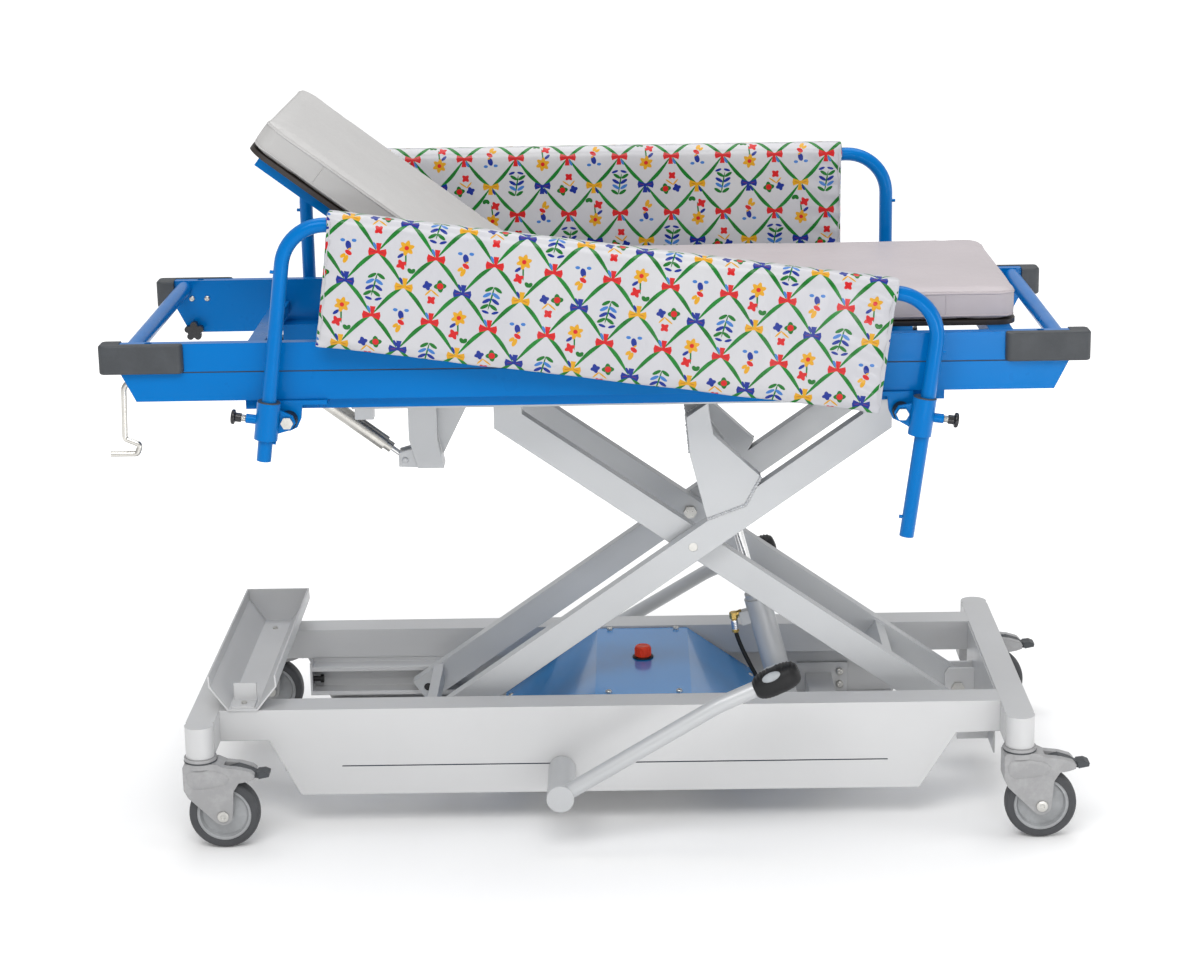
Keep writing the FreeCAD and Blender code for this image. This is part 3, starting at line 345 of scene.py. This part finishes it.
RIM = moulded("rim_plastic", (0.36, 0.37, 0.38), 0.42)
HOUSING = moulded("caster_plastic", (0.34, 0.34, 0.345), 0.38, 600, 0.12)
DARK = moulded("dark_plastic", (0.045, 0.05, 0.056), 0.4)
BUMPER = moulded("bumper", (0.038, 0.043, 0.049), 0.55, 500, 0.5, 0.002)
RUBBER = moulded("rubber_black", (0.010, 0.010, 0.011), 0.46, 800, 0.4, Specular_IOR_Level=0.28)
KNOB = moulded("black_plastic", (0.010, 0.010, 0.012), 0.28, 900, 0.08)
CAP_RED = moulded("red_cap", (0.84, 0.048, 0.006), 0.34)
INSET = moulded("pad_inset", (0.33, 0.35, 0.37), 0.4, 600, 0.1)
CRIMP = metal("crimp_steel", (0.80, 0.82, 0.88), 0.16)
BOARD = moulded("board", (0.022, 0.016, 0.013), 0.45, 300, 0.4)
SEAT_VINYL = vinyl("seat_vinyl", (0.385, 0.347, 0.362))
BACK_VINYL = vinyl("back_vinyl", (0.37, 0.365, 0.36))
HEM = vinyl("cover_hem", (0.42, 0.42, 0.44))
PRINT = printed_cover()

SLOT_LOOK = {"grey_paint": GREY, "blue_paint": BLUE_PAINT, "blue_cover": BLUE_SHEET, "stainless": STEEL,
             "chrome": CHROME, "zinc": ZINC, "tyre": TYRE, "caster_plastic": HOUSING, "dark_plastic": DARK,
             "bumper": BUMPER, "rubber_black": RUBBER, "black_plastic": KNOB, "red_cap": CAP_RED,
             "hose": RUBBER,
             "board": BOARD, "seat_vinyl": SEAT_VINYL, "back_vinyl": BACK_VINYL, "cover_vinyl": PRINT}
SLOT_OF = {part["node"]: part["material_slot"] for part in frame["record"]["subparts"]}
for node, slot in SLOT_OF.items():
    NODES[node].data.materials.clear()
    NODES[node].data.materials.append(SLOT_LOOK[slot])
for node in ("base_side_channels", "base_crossbars", "base_brackets", "gas_bottle_tray", "roller_tracks"):
    NODES[node].data.materials[0] = SILVER


def repaint(node, look, rule):
    """Gives the faces of a CAD node whose centre obeys the rule another look."""
    mesh = NODES[node].data
    mesh.materials.append(look)
    index = len(mesh.materials) - 1
    for face in mesh.polygons:
        if rule(face.center):
            face.material_index = index


def radius_from(x, z):
    return lambda c: math.hypot(c.x - x, c.z - z)


# thin bands along the seams of the base channels and platform rails get painted shade in the near-black seam
# colour
repaint("base_side_channels", SEAM_SHADE, lambda c: 0.2536 < abs(c.y) < 0.2549 and 0.1165 < c.z < 0.1195)
repaint("platform_side_rails", SEAM_SHADE, lambda c: 0.2970 < abs(c.y) < 0.2979 and 0.8485 < c.z < 0.8515)
repaint("pump_unit", BRASS, lambda c: c.z > 0.2205)
repaint("roller_tracks", RUBBER, lambda c: c.x < -0.5405 and 0.12 < c.z < 0.145 and 0.169 < abs(c.y) < 0.187)
repaint("rail_pivot_bolts", RUBBER, lambda c: 0.305 < abs(c.y) < 0.3247)
for place, (cx, cy) in CASTERS.items():
    far_from = radius_from(cx + TRAIL, WHEEL_R)
    repaint("caster_wheel_" + place, RIM, lambda c: far_from(c) < 0.0479)
    repaint("caster_fork_" + place, ZINC, lambda c: far_from(c) < 0.0092 or c.z > 0.169)


# ---- mesh helpers ---------------------------------------------------------------------------------
def make_object(name, mesh, look, body, smooth=True):
    obj = bpy.data.objects.new(name, mesh)
    bpy.context.scene.collection.objects.link(obj)
    if look is not None:
        mesh.materials.append(look)
    if smooth:
        mesh.shade_smooth()
        mesh.set_sharp_from_angle(angle=math.radians(38))
    if body:
        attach(obj, body)
    return obj


def mesh_from(name, build):
    mesh = bpy.data.meshes.new(name)
    bm = bmesh.new()
    build(bm)
    bmesh.ops.recalc_face_normals(bm, faces=bm.faces)
    bm.to_mesh(mesh)
    bm.free()
    return mesh


def loft(bm, rings):
    """Closed skin through rings of points, its two ends capped."""
    rows = [[bm.verts.new(p) for p in ring] for ring in rings]
    count = len(rows[0])
    for a, b in zip(rows, rows[1:]):
        for k in range(count):
            bm.faces.new((a[k], a[(k + 1) % count], b[(k + 1) % count], b[k]))
    bm.faces.new(rows[0][::-1])
    bm.faces.new(rows[-1])


def across(direction):
    side = Vector((0, 1, 0)) if abs(direction.y) < 0.9 else Vector((1, 0, 0))
    first = direction.cross(side).normalized()
    return first, direction.cross(first).normalized()


def lathe(bm, origin, direction, profile, sides=40):
    """Turns a profile of (radius, distance) pairs about a line; few sides make a nut."""
    origin, direction = Vector(origin), Vector(direction).normalized()
    first, second = across(direction)
    rings = []
    for radius, distance in profile:
        ring = []
        for k in range(sides):
            a = 2 * math.pi * k / sides
            out = first * math.cos(a) + second * math.sin(a)
            ring.append(origin + direction * distance + out * radius)
        rings.append(ring)
    loft(bm, rings)


def sweep(bm, points, radius, sides=12):
    """A round skin along points; radius is a number or a function of the share of the way along."""
    points = [Vector(p) for p in points]
    rings = []
    for k, point in enumerate(points):
        tangent = (points[min(k + 1, len(points) - 1)] - points[max(k - 1, 0)]).normalized()
        first, second = across(tangent)
        r = radius(k / (len(points) - 1)) if callable(radius) else radius
        rings.append([point + (first * math.cos(a) + second * math.sin(a)) * r
                      for a in (2 * math.pi * s / sides for s in range(sides))])
    loft(bm, rings)


def ring_sweep(bm, points, radius, sides=8):
    """A round skin along a closed line of points."""
    points = [Vector(p) for p in points]
    count = len(points)
    rows = []
    for k, point in enumerate(points):
        tangent = (points[(k + 1) % count] - points[k - 1]).normalized()
        first, second = across(tangent)
        rows.append([bm.verts.new(point + (first * math.cos(a) + second * math.sin(a)) * radius)
                     for a in (2 * math.pi * s / sides for s in range(sides))])
    for k in range(count):
        a, b = rows[k], rows[(k + 1) % count]
        for s in range(sides):
            bm.faces.new((a[s], a[(s + 1) % sides], b[(s + 1) % sides], b[s]))


def coords(mesh):
    out = np.empty(len(mesh.vertices) * 3)
    mesh.vertices.foreach_get("co", out)
    return out.reshape(-1, 3)


def set_coords(mesh, points):
    mesh.vertices.foreach_set("co", points.astype(np.float32).ravel())
    mesh.update()


def normals(mesh):
    out = np.empty(len(mesh.vertices) * 3)
    mesh.vertices.foreach_get("normal", out)
    return out.reshape(-1, 3)


def bake_modifiers(obj):
    graph = bpy.context.evaluated_depsgraph_get()
    baked = bpy.data.meshes.new_from_object(obj.evaluated_get(graph))
    obj.modifiers.clear()
    obj.data = baked


def padding(name, node, turn, inset, cap, frames=18, pressure=4.0):
    """A padded copy of a CAD pad: remeshed, shrunk by inset, then blown up as cloth by at most cap."""
    mesh = NODES[node].data.copy()
    mesh.materials.clear()
    mesh.transform(turn.inverted())
    bm = bmesh.new()
    bm.from_mesh(mesh)
    bmesh.ops.remove_doubles(bm, verts=bm.verts, dist=1e-5)
    bm.to_mesh(mesh)
    bm.free()
    obj = bpy.data.objects.new(name, mesh)
    bpy.context.scene.collection.objects.link(obj)
    remesh = obj.modifiers.new("remesh", "REMESH")
    remesh.mode = "VOXEL"
    remesh.voxel_size = VOXEL
    bake_modifiers(obj)
    start = coords(obj.data) - normals(obj.data) * inset
    set_coords(obj.data, start)
    cloth = obj.modifiers.new("cloth", "CLOTH")
    cloth.settings.use_pressure = True
    cloth.settings.uniform_pressure_force = pressure
    cloth.settings.effector_weights.gravity = 0
    cloth.settings.quality = 5
    cloth.collision_settings.use_collision = False
    cloth.point_cache.frame_start = 1
    cloth.point_cache.frame_end = frames
    for step in range(1, frames + 1):
        bpy.context.scene.frame_set(step)
    graph = bpy.context.evaluated_depsgraph_get()
    swollen = coords(obj.evaluated_get(graph).to_mesh())
    obj.modifiers.clear()
    bpy.context.scene.frame_set(1)
    move = swollen - start
    size = np.linalg.norm(move, axis=1, keepdims=True) + 1e-9
    set_coords(obj.data, start + move / size * cap * np.tanh(size / cap))
    return obj


def finish_soft(obj, look, body, node):
    smooth = obj.modifiers.new("smooth", "SUBSURF")
    smooth.levels = smooth.render_levels = 1
    bake_modifiers(obj)
    obj.data.materials.clear()
    obj.data.materials.append(look)
    obj.data.shade_smooth()
    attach(obj, body)
    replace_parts(obj, node)


def surface_of(mesh):
    return BVHTree.FromPolygons([v.co for v in mesh.vertices], [list(p.vertices) for p in mesh.polygons])


def on_surface(tree, points, lift):
    """Moves points to the nearest place on a surface, and out from it by lift."""
    out = []
    for point in points:
        place, normal, _, _ = tree.find_nearest(Vector(point))
        out.append(place + normal * lift)
    return out


def rounded_outline(x0, x1, half, radius, step=0.008):
    """Points round a rectangle with rounded corners, going once round."""
    points = []
    corners = ((x1 - radius, half - radius, 0), (x0 + radius, half - radius, 90),
               (x0 + radius, -half + radius, 180), (x1 - radius, -half + radius, 270))
    for cx, cy, start in corners:
        for k in range(9):
            a = math.radians(start + 90 * k / 8)
            points.append(Vector((cx + radius * math.cos(a), cy + radius * math.sin(a))))
    dense = []
    for a, b in zip(points, points[1:] + points[:1]):
        cuts = max(1, int((b - a).length / step))
        dense += [a.lerp(b, k / cuts) for k in range(cuts)]
    return dense


# ---- mattresses -----------------------------------------------------------------------------------
def mattress(name, node, turn, x0, x1, square_end, look, body):
    """Foam pad in a vinyl cover, flat below, crowned above, with piping round its edges and corner seams."""
    obj = padding(name, node, turn, 0.003, 0.0058)
    points = coords(obj.data)
    x, y, z = points[:, 0], points[:, 1], points[:, 2]
    inside = np.clip(np.minimum((x - x0) * (x1 - x), 0.02) / 0.02, 0, 1)
    inside = inside * np.clip((PAD_HALF - abs(y)) / 0.09, 0, 1)
    upper = np.clip((z - PAD_LOW) / (PAD_TOP - PAD_LOW), 0, 1)
    points[:, 2] += 0.0022 * upper * np.clip(inside, 0, 1)
    waist = np.sin(np.clip((z - PAD_LOW) / (PAD_TOP - PAD_LOW), 0, 1) * math.pi)
    points[:, 1] -= np.sign(y) * 0.0022 * waist * (abs(y) > PAD_HALF - 0.02)
    ripple = np.array([noise.noise(Vector((p[0] * 7, p[1] * 7, p[2] * 16))) for p in points])
    points += normals(obj.data) * (ripple * 0.0014)[:, None]
    points[:, 2] = np.maximum(points[:, 2], PAD_LOW)
    set_coords(obj.data, points)
    finish_soft(obj, look, body, node)
    surface = surface_of(obj.data)

    def trims(bm):
        for height in (PAD_TOP - 0.007, PAD_LOW + 0.006):
            shift = math.tan(BACK_CUT) * (height - PAD_LOW)
            ends = (x0 + (shift if square_end > 0 else 0), x1 - (shift if square_end < 0 else 0))
            path = [(p.x, p.y, height) for p in rounded_outline(ends[0], ends[1], PAD_HALF, 0.03)]
            ring_sweep(bm, on_surface(surface, path, 0.0002), 0.0017)
        end = x1 if square_end > 0 else x0
        for side in (-1, 1):
            sx = end - square_end * 0.125
            seam = [(sx, side * PAD_HALF, PAD_LOW + 0.006 + k * 0.004) for k in range(11)]
            sweep(bm, on_surface(surface, seam, 0.0001), 0.0009, 6)
            corner = [(end, side * (PAD_HALF - 0.03), PAD_LOW + 0.006 + k * 0.004) for k in range(11)]
            sweep(bm, on_surface(surface, corner, 0.0001), 0.0009, 6)

    mesh = mesh_from(name + "_piping", trims)
    mesh.transform(turn)
    piping = make_object(name + "_piping", mesh, look, None)
    obj.data.transform(turn)
    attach(piping, body)


RAISED = Matrix.Translation(HINGE) @ Matrix.Rotation(BACK_ANGLE, 4, "Y") @ Matrix.Translation(-HINGE)
mattress("seat_pad", "seat_mattress", Matrix.Identity(4), -0.148, 0.726, 1, SEAT_VINYL, "platform")
mattress("back_pad", "backrest_mattress", RAISED, -0.695, -0.163, -1, BACK_VINYL, "backrest")


# ---- printed covers on the side rails -------------------------------------------------------------
def tilt_about(x):
    centre = Vector((x, 0, BOLT_Z))
    return Matrix.Translation(centre) @ Matrix.Rotation(NEAR_TILT, 4, "Y") @ Matrix.Translation(-centre)


def cover(name, node, turn, x0, x1, side, body, print_shift):
    """Folded padded cover; the print runs up its bed side, over the fold and down its outer side."""
    obj = padding(name, node, turn, 0.0015, 0.004)
    points = coords(obj.data)
    middle = side * 0.3335
    for k, p in enumerate(points):
        low = min(1.0, max(0.0, (SIDE_TOP - 0.02 - p[2]) / 0.1))
        fold = noise.noise(Vector((p[0] * 9, side * 3.1, p[2] * 4)))
        fold += 0.5 * noise.noise(Vector((p[0] * 26, 7, p[2] * 9)))
        end = max(0.0, 1 - min(p[0] - x0, x1 - p[0]) / 0.09)
        p[1] += 0.0028 * fold * (0.35 + 0.65 * low) + 0.0016 * end * math.sin(p[2] * 190 + p[0] * 60)
        if p[2] < COVER_LOW + 0.012:
            p[2] += 0.0022 * noise.noise(Vector((p[0] * 11, 2, 0)))
    set_coords(obj.data, points)
    finish_soft(obj, PRINT, body, node)
    mesh = obj.data
    layer = mesh.uv_layers.new(name="UVMap")
    half, round_z = 0.0235, COVER_TOP - 0.0235
    straight = round_z - COVER_LOW
    for face in mesh.polygons:
        ends = abs(face.normal.x) > 0.75
        outer = (face.center.y - middle) * side > 0
        for loop in face.loop_indices:
            co = mesh.vertices[mesh.loops[loop].vertex_index].co
            out = (co.y - middle) * side
            if co.z < round_z:
                v = co.z - COVER_LOW
                v = 2 * straight + math.pi * half - v if outer else v
            else:
                v = straight + half * (math.pi - math.atan2(co.z - round_z, out))
            u = co.x * side
            if ends:
                u, v = co.x * side + out, (co.z - COVER_LOW)
            layer.data[loop].uv = (u + print_shift[0], v + print_shift[1])
    surface = surface_of(mesh)

    def hems(bm):
        for x in (x0 + 0.0045, x1 - 0.0045):
            for y in (middle - 0.04, middle + 0.04):
                down = [(x, y, COVER_LOW + 0.012 + k * 0.006) for k in range(35)]
                sweep(bm, on_surface(surface, down, 0.0002), 0.0010, 6)

    stitch = mesh_from(name + "_hems", hems)
    stitch.transform(turn)
    make_object(name + "_hems", stitch, HEM, body)
    obj.data.transform(turn)


NEAR_TURN = tilt_about(-BOLT_X)
cover("rail_cover_near_soft", "rail_cover_near", NEAR_TURN, -0.487, 0.474, -1, "side_rail_near",
      (-0.0038, -0.0065))
cover("rail_cover_far_soft", "rail_cover_far", Matrix.Identity(4), -0.470, 0.470, 1, "side_rail_far",
      (-0.0463, -0.0019))


# ---- pedal pads -----------------------------------------------------------------------------------
def signed_power(value, power):
    return math.copysign(abs(value) ** power, value)


def pedal_pad(side):
    """Ribbed rubber pad, grooved across its upper half, with an oval inset high on each cheek."""
    centre = Matrix.Translation((PEDAL_CENTRE_X, side * PEDAL_Y, PEDAL_CENTRE_Z))
    turn = centre @ Matrix.Rotation(PEDAL_LEAN, 4, "Y")
    half = Vector((0.0425, 0.0265, 0.0240))

    def body(bm):
        rings = []
        for i in range(1, 60):
            t = math.pi * i / 60 - math.pi / 2
            ring = []
            for k in range(56):
                a = 2 * math.pi * k / 56
                x = half.x * signed_power(math.sin(t), 0.7)
                r = abs(math.cos(t)) ** 0.6
                y = half.y * r * signed_power(math.cos(a), 0.8)
                z = half.z * r * signed_power(math.sin(a), 0.8)
                rib = 0.5 + 0.5 * math.cos(2 * math.pi * x / 0.0062)
                grip = 1 - 0.09 * rib * (1 if z > 0.004 else 0.25)
                ring.append(Vector((x, y, z * grip)))
            rings.append(ring)
        loft(bm, rings)

    mesh = mesh_from("pedal_grip", body)
    mesh.transform(turn)
    place = "near" if side < 0 else "far"
    pad = make_object("pedal_grip_" + place, mesh, RUBBER, "pedals")

    def insets(bm):
        for cheek in (-1, 1):
            centre = Vector((-0.004, cheek * 0.0214, 0.0160))
            outward = Vector((0, cheek * 0.745, 0.667))
            along = Vector((0, -cheek * 0.667, 0.745))
            rings = []
            profile = ((1.0, -0.0040), (1.0, 0.0004), (0.92, 0.0010), (0.5, 0.0013), (0.05, 0.0013))
            for share, height in profile:
                rings.append([centre + outward * height + Vector((0.0165 * share * math.cos(a), 0, 0))
                              + along * (0.0080 * share * math.sin(a))
                              for a in (2 * math.pi * k / 40 for k in range(40))])
            loft(bm, rings)

    oval = mesh_from("pedal_oval", insets)
    oval.transform(turn)
    make_object("pedal_oval_" + place, oval, INSET, "pedals")
    return pad


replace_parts(pedal_pad(-1), "pedal_pads")
pedal_pad(1)


# ---- side rail hardware ---------------------------------------------------------------------------
def rail_end(place, x_sign, side, turn, bore, reach):
    """Mushroom plunger with a threaded neck, and the dark bush that shows at the sleeve's top."""
    axis = Vector((x_sign, 0, 0))
    origin = Vector((x_sign * SLEEVE_X, side * SIDE_Y, BOLT_Z))
    body = "plunger_" + place

    def knob(bm):
        profile = [(0.0072, 0.0440), (0.0078, 0.0446), (0.0078, 0.0535), (0.0100, 0.0546), (0.0122, 0.0552),
                   (0.0128, 0.0563), (0.0128, 0.0588), (0.0118, 0.0606), (0.0085, 0.0617), (0.003, 0.0620)]
        lathe(bm, origin, axis, profile, 36)

    def neck(bm):
        profile = [(0.0039, reach), (0.0039, 0.0368), (0.0052, 0.0368)]
        for k in range(9):
            profile += [(0.0060, 0.0370 + k * 0.0008), (0.0054, 0.0374 + k * 0.0008)]
        lathe(bm, origin, axis, profile + [(0.0054, 0.0450)], 28)

    def bush(bm):
        start = Vector((x_sign * SLEEVE_X, side * SIDE_Y, BOLT_Z + SLEEVE_H / 2))
        lathe(bm, start, (0, 0, 1), [(bore, -0.0012), (0.0193, -0.0012), (0.0196, 0.0006), (0.0188, 0.0016),
                                     (bore + 0.0004, 0.0016), (bore, 0.0012)], 40)

    pieces = ((knob, "plunger_knob_", KNOB, body, "black_plastic"),
              (neck, "plunger_neck_", ZINC, body, "zinc"),
              (bush, "sleeve_bush_", DARK, "sleeve_" + place, "dark_plastic"))
    for build, name, look, rider, slot in pieces:
        mesh = mesh_from(name, build)
        mesh.transform(turn)
        piece = make_object(name + place, mesh, look, rider)
        if build is knob:
            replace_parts(piece, body)


ENDS = (("far_head", -1, 1, Matrix.Identity(4), 0.01258, 0.013),
        ("far_foot", 1, 1, Matrix.Identity(4), 0.0142, 0.0145),
        ("near_head", -1, -1, NEAR_TURN, 0.01258, 0.013),
        ("near_foot", 1, -1, tilt_about(BOLT_X), 0.0177, 0.018))
for end in ENDS:
    rail_end(*end)


# ---- casters --------------------------------------------------------------------------------------
def caster_trim(place, x, y):
    """Axle caps, cheek insets and the swivel head's dark ring."""
    hub = Vector((x + TRAIL, y, WHEEL_R))

    def caps(bm):
        for side in (-1, 1):
            lathe(bm, hub + Vector((0, side * 0.0262, 0)), (0, side, 0),
                  [(0.0098, -0.0020), (0.0102, -0.0006), (0.0098, 0.0006), (0.0060, 0.0015), (0.0042, 0.0014),
                   (0.0036, 0.0004), (0.0010, 0.0004)], 32)

    def ring(bm):
        profile = [(0.0240, -0.0006), (0.0291, -0.0006), (0.0294, 0.0012), (0.0286, 0.0022), (0.0240, 0.0022)]
        lathe(bm, (x, y, 0.1603), (0, 0, 1), profile, 48)

    def insets(bm):
        outline = [(-0.018, 0.146), (0.016, 0.149), (0.040, 0.144), (0.052, 0.134), (0.046, 0.122),
                   (0.020, 0.116), (-0.010, 0.113), (-0.021, 0.122), (-0.023, 0.136)]
        for side in (-1, 1):
            rings = []
            cx, cz = 0.014, 0.131
            for share, depth in ((1.0, -0.0010), (1.0, 0.0004), (0.94, 0.0010), (0.6, 0.0012)):
                cheek = y + side * (0.024 + depth)
                rings.append([Vector((x + cx + (px - cx) * share, cheek, cz + (pz - cz) * share))
                              for px, pz in outline])
            loft(bm, rings)

    body = "caster_fork_" + place
    make_object("axle_caps_" + place, mesh_from("caps", caps), ZINC, body)
    make_object("swivel_ring_" + place, mesh_from("ring", ring), DARK, body)
    make_object("cheek_insets_" + place, mesh_from("insets", insets), HOUSING, body)


for place, (x, y) in CASTERS.items():
    caster_trim(place, x, y)


# ---- welds, screws and the hose's fittings --------------------------------------------------------
def bead(bm, start, end, seed):
    """A hand-laid weld: overlapping ripples that wander a little."""
    start, end = Vector(start), Vector(end)
    count = max(8, int((end - start).length / 0.0011))
    points = []
    for k in range(count + 1):
        p = start.lerp(end, k / count)
        wander = noise.noise(Vector((k * 0.16, seed, 0))) * 0.0011
        points.append(p + Vector((wander, 0, wander)))

    def width(t):
        uneven = noise.noise(Vector((t * count * 0.5, seed, 3)))
        return 0.0026 + 0.0008 * math.sin(t * count * 1.25) + 0.0007 * uneven

    sweep(bm, points, width, 9)


def arm_welds(bm):
    for side in (-1, 1):
        y = side * 0.1503
        bead(bm, (0.194, y, 0.5355), (0.262, y, 0.5605), 1 + side)
        bead(bm, (0.262, y, 0.5605), (0.290, y, 0.612), 4 + side)
        inner = side * 0.1205
        bead(bm, (0.165, inner, 0.650), (0.159, inner, 0.722), 8 + side)
        bead(bm, (0.159, inner, 0.722), (0.196, inner, 0.747), 12 + side)


make_object("horn_welds", mesh_from("horn_welds", arm_welds), GREY, "outer_arms")


def screw(bm, place, direction, radius, height):
    """A button head with a round recess."""
    profile = [(radius, -0.0005), (radius, height * 0.25), (radius * 0.86, height * 0.72),
               (radius * 0.55, height), (radius * 0.42, height), (radius * 0.40, height * 0.3),
               (radius * 0.05, height * 0.25)]
    lathe(bm, place, direction, profile, 30)


def base_screws(bm):
    for x in (0.014, 0.141):
        for y in (-0.180, 0.180):
            screw(bm, (x, y, 0.2255), (0, 0, 1), 0.0056, 0.0026)
    for side in (-1, 1):
        for z in (0.084, 0.110):
            screw(bm, (0.462, side * 0.2380, z), (0, -side, 0), 0.0072, 0.0026)
    for x, z in ((-0.178, 0.1335), (0.284, 0.1375)):
        for y in (-0.150, 0, 0.150):
            normal = Vector((-0.58, 0, 0.81)) if x < 0 else Vector((0.57, 0, 0.82))
            lift = 0.1035 if x < 0 else 0.1376
            screw(bm, (x, y, lift), normal, 0.0048, 0.0024)


def rail_screws(bm):
    for x in (-0.772, -0.743):
        screw(bm, (x, 0.2781, 0.865), (0, -1, 0), 0.0055, 0.0028)
        screw(bm, (-x, 0.2781, 0.865), (0, -1, 0), 0.0055, 0.0028)
        screw(bm, (x, -0.2781, 0.865), (0, 1, 0), 0.0055, 0.0028)
        screw(bm, (-x, -0.2781, 0.865), (0, 1, 0), 0.0055, 0.0028)


make_object("base_screws", mesh_from("base_screws", base_screws), ZINC, "root")
make_object("bumper_screws", mesh_from("bumper_screws", rail_screws), ZINC, "platform")

HOSE_TOP = Vector((0.2465, 0, 0.304))
HOSE_NEXT = Vector((0.250, 0, 0.272))
HOSE_DOWN = (HOSE_NEXT - HOSE_TOP).normalized()


def elbow(bm):
    lathe(bm, (0.2600, 0, 0.3115), (-0.966, 0, -0.259),
          [(0.0074, -0.001), (0.0074, 0.0045), (0.0062, 0.0052)], 6)
    turn = [Vector((0.2585, 0, 0.3112)), Vector((0.2535, 0, 0.3108)), Vector((0.2495, 0, 0.3096)),
            Vector((0.2472, 0, 0.3072)), HOSE_TOP + HOSE_DOWN * 0.003]
    sweep(bm, turn, 0.0056, 20)
    lathe(bm, HOSE_TOP - HOSE_DOWN * 0.010, HOSE_DOWN,
          [(0.0070, 0), (0.0082, 0.0010), (0.0082, 0.0125), (0.0072, 0.0135), (0.0058, 0.0140),
           (0.0058, 0.0155)], 6)


def crimp(bm):
    profile = [(0.0050, 0.0050), (0.0066, 0.0055)]
    for k in range(5):
        start = k * 0.0034
        profile += [(0.0069, 0.0062 + start), (0.0067, 0.0080 + start), (0.0069, 0.0092 + start)]
    lathe(bm, HOSE_TOP, HOSE_DOWN, profile + [(0.0048, 0.0240)], 30)


def crimp_end(bm):
    profile = [(0.0052, 0.0238), (0.0068, 0.0243), (0.0068, 0.0292), (0.0056, 0.0300), (0.0046, 0.0306)]
    lathe(bm, HOSE_TOP, HOSE_DOWN, profile, 6)


FITTINGS = (("hose_elbow", elbow, BRASS), ("hose_crimp", crimp, CRIMP), ("hose_collar", crimp_end, BRASS))
for name, build, look in FITTINGS:
    make_object(name, mesh_from(name, build), look, "cylinder_barrel")


def cap_dome(bm):
    profile = [(0.0138, -0.001), (0.0138, 0.0004), (0.0126, 0.0016), (0.0105, 0.0020), (0.0098, 0.0012),
               (0.001, 0.0010)]
    lathe(bm, (0.077, 0.017, 0.243), (0, 0, 1), profile, 40)


def cap_ring(bm):
    profile = [(0.0120, 0), (0.0192, 0), (0.0198, 0.0010), (0.0190, 0.0024), (0.0155, 0.0026)]
    lathe(bm, (0.077, 0.017, 0.2225), (0, 0, 1), profile, 44)


make_object("filler_cap_top", mesh_from("cap_dome", cap_dome), CAP_RED, "filler_cap")
make_object("filler_ring", mesh_from("cap_ring", cap_ring), RUBBER, "root")


# ---- floor, lights and camera ---------------------------------------------------------------------
def soft_area(name, place, aim, size, power):
    light = bpy.data.lights.new(name, "AREA")
    light.shape = "RECTANGLE"
    light.size, light.size_y = size
    light.energy = power
    obj = bpy.data.objects.new(name, light)
    bpy.context.scene.collection.objects.link(obj)
    obj.location = place
    obj.rotation_euler = (Vector(aim) - Vector(place)).to_track_quat("-Z", "Y").to_euler()


def studio():
    bm = bmesh.new()
    bmesh.ops.create_grid(bm, x_segments=4, y_segments=4, size=45)
    mesh = bpy.data.meshes.new("floor")
    bm.to_mesh(mesh)
    bm.free()
    floor = bpy.data.objects.new("floor", mesh)
    bpy.context.scene.collection.objects.link(floor)
    look = Look("floor", (0.9, 0.9, 0.9), Roughness=0.75, Emission_Color=(1, 1, 1, 1))
    away = look.tree.nodes.new("ShaderNodeVectorMath")
    away.operation = "LENGTH"
    look.tree.links.new(look.place, away.inputs[0])
    look.set("Emission Strength", look.spread(look.number(away.outputs["Value"]), 0.8, 2.6, 0.06, 0.6))
    cloud = look.spread(look.noise(0.6, 3), 0.3, 0.7)
    look.set("Base Color", look.mix(cloud, (0.90, 0.90, 0.90), (0.93, 0.93, 0.93)))
    mesh.materials.append(look.mat)
    floor.location.z = -0.0005
    world = bpy.data.worlds.new("studio")
    world.use_nodes = True
    back = world.node_tree.nodes["Background"]
    back.inputs[0].default_value = (1, 1, 1, 1)
    back.inputs[1].default_value = 0.56
    bpy.context.scene.world = world
    soft_area("low front", (1.5, -4.1, 0.3), (0.2, 0, 0.5), (1.6, 0.5), 20)
    soft_area("high front", (-0.5, -2.9, 3.3), (0, 0, 0.4), (3.0, 1.6), 84)
    soft_area("overhead", (0.2, 0.7, 3.7), (0, 0, 0.5), (3.4, 2.2), 74)
    soft_area("side", (3.4, -0.6, 1.2), (0.1, 0, 0.6), (1.4, 1.0), 16)


def camera():
    """Long lens from the near side, pitched down 15.08 degrees, turned 0.82 and rolled 1.05."""
    pitch, yaw, roll = math.radians(15.077), math.radians(-0.818), math.radians(1.0515)
    forward = Vector((math.sin(yaw) * math.cos(pitch), math.cos(yaw) * math.cos(pitch), -math.sin(pitch)))
    right = Vector((math.cos(yaw), -math.sin(yaw), 0))
    down = forward.cross(right)
    right_rolled = right * math.cos(roll) + down * math.sin(roll)
    down_rolled = down * math.cos(roll) - right * math.sin(roll)
    data = bpy.data.cameras.new("camera")
    data.lens, data.sensor_width = 79.48, 36.0
    data.clip_end = 200
    cam = bpy.data.objects.new("camera", data)
    bpy.context.scene.collection.objects.link(cam)
    turn = Matrix((right_rolled, -down_rolled, -forward)).transposed().to_4x4()
    cam.matrix_world = Matrix.Translation((0.0697, -4.6782, 1.8307)) @ turn
    bpy.context.scene.camera = cam


studio()
camera()
bpy.context.scene.view_settings.view_transform = "Standard"
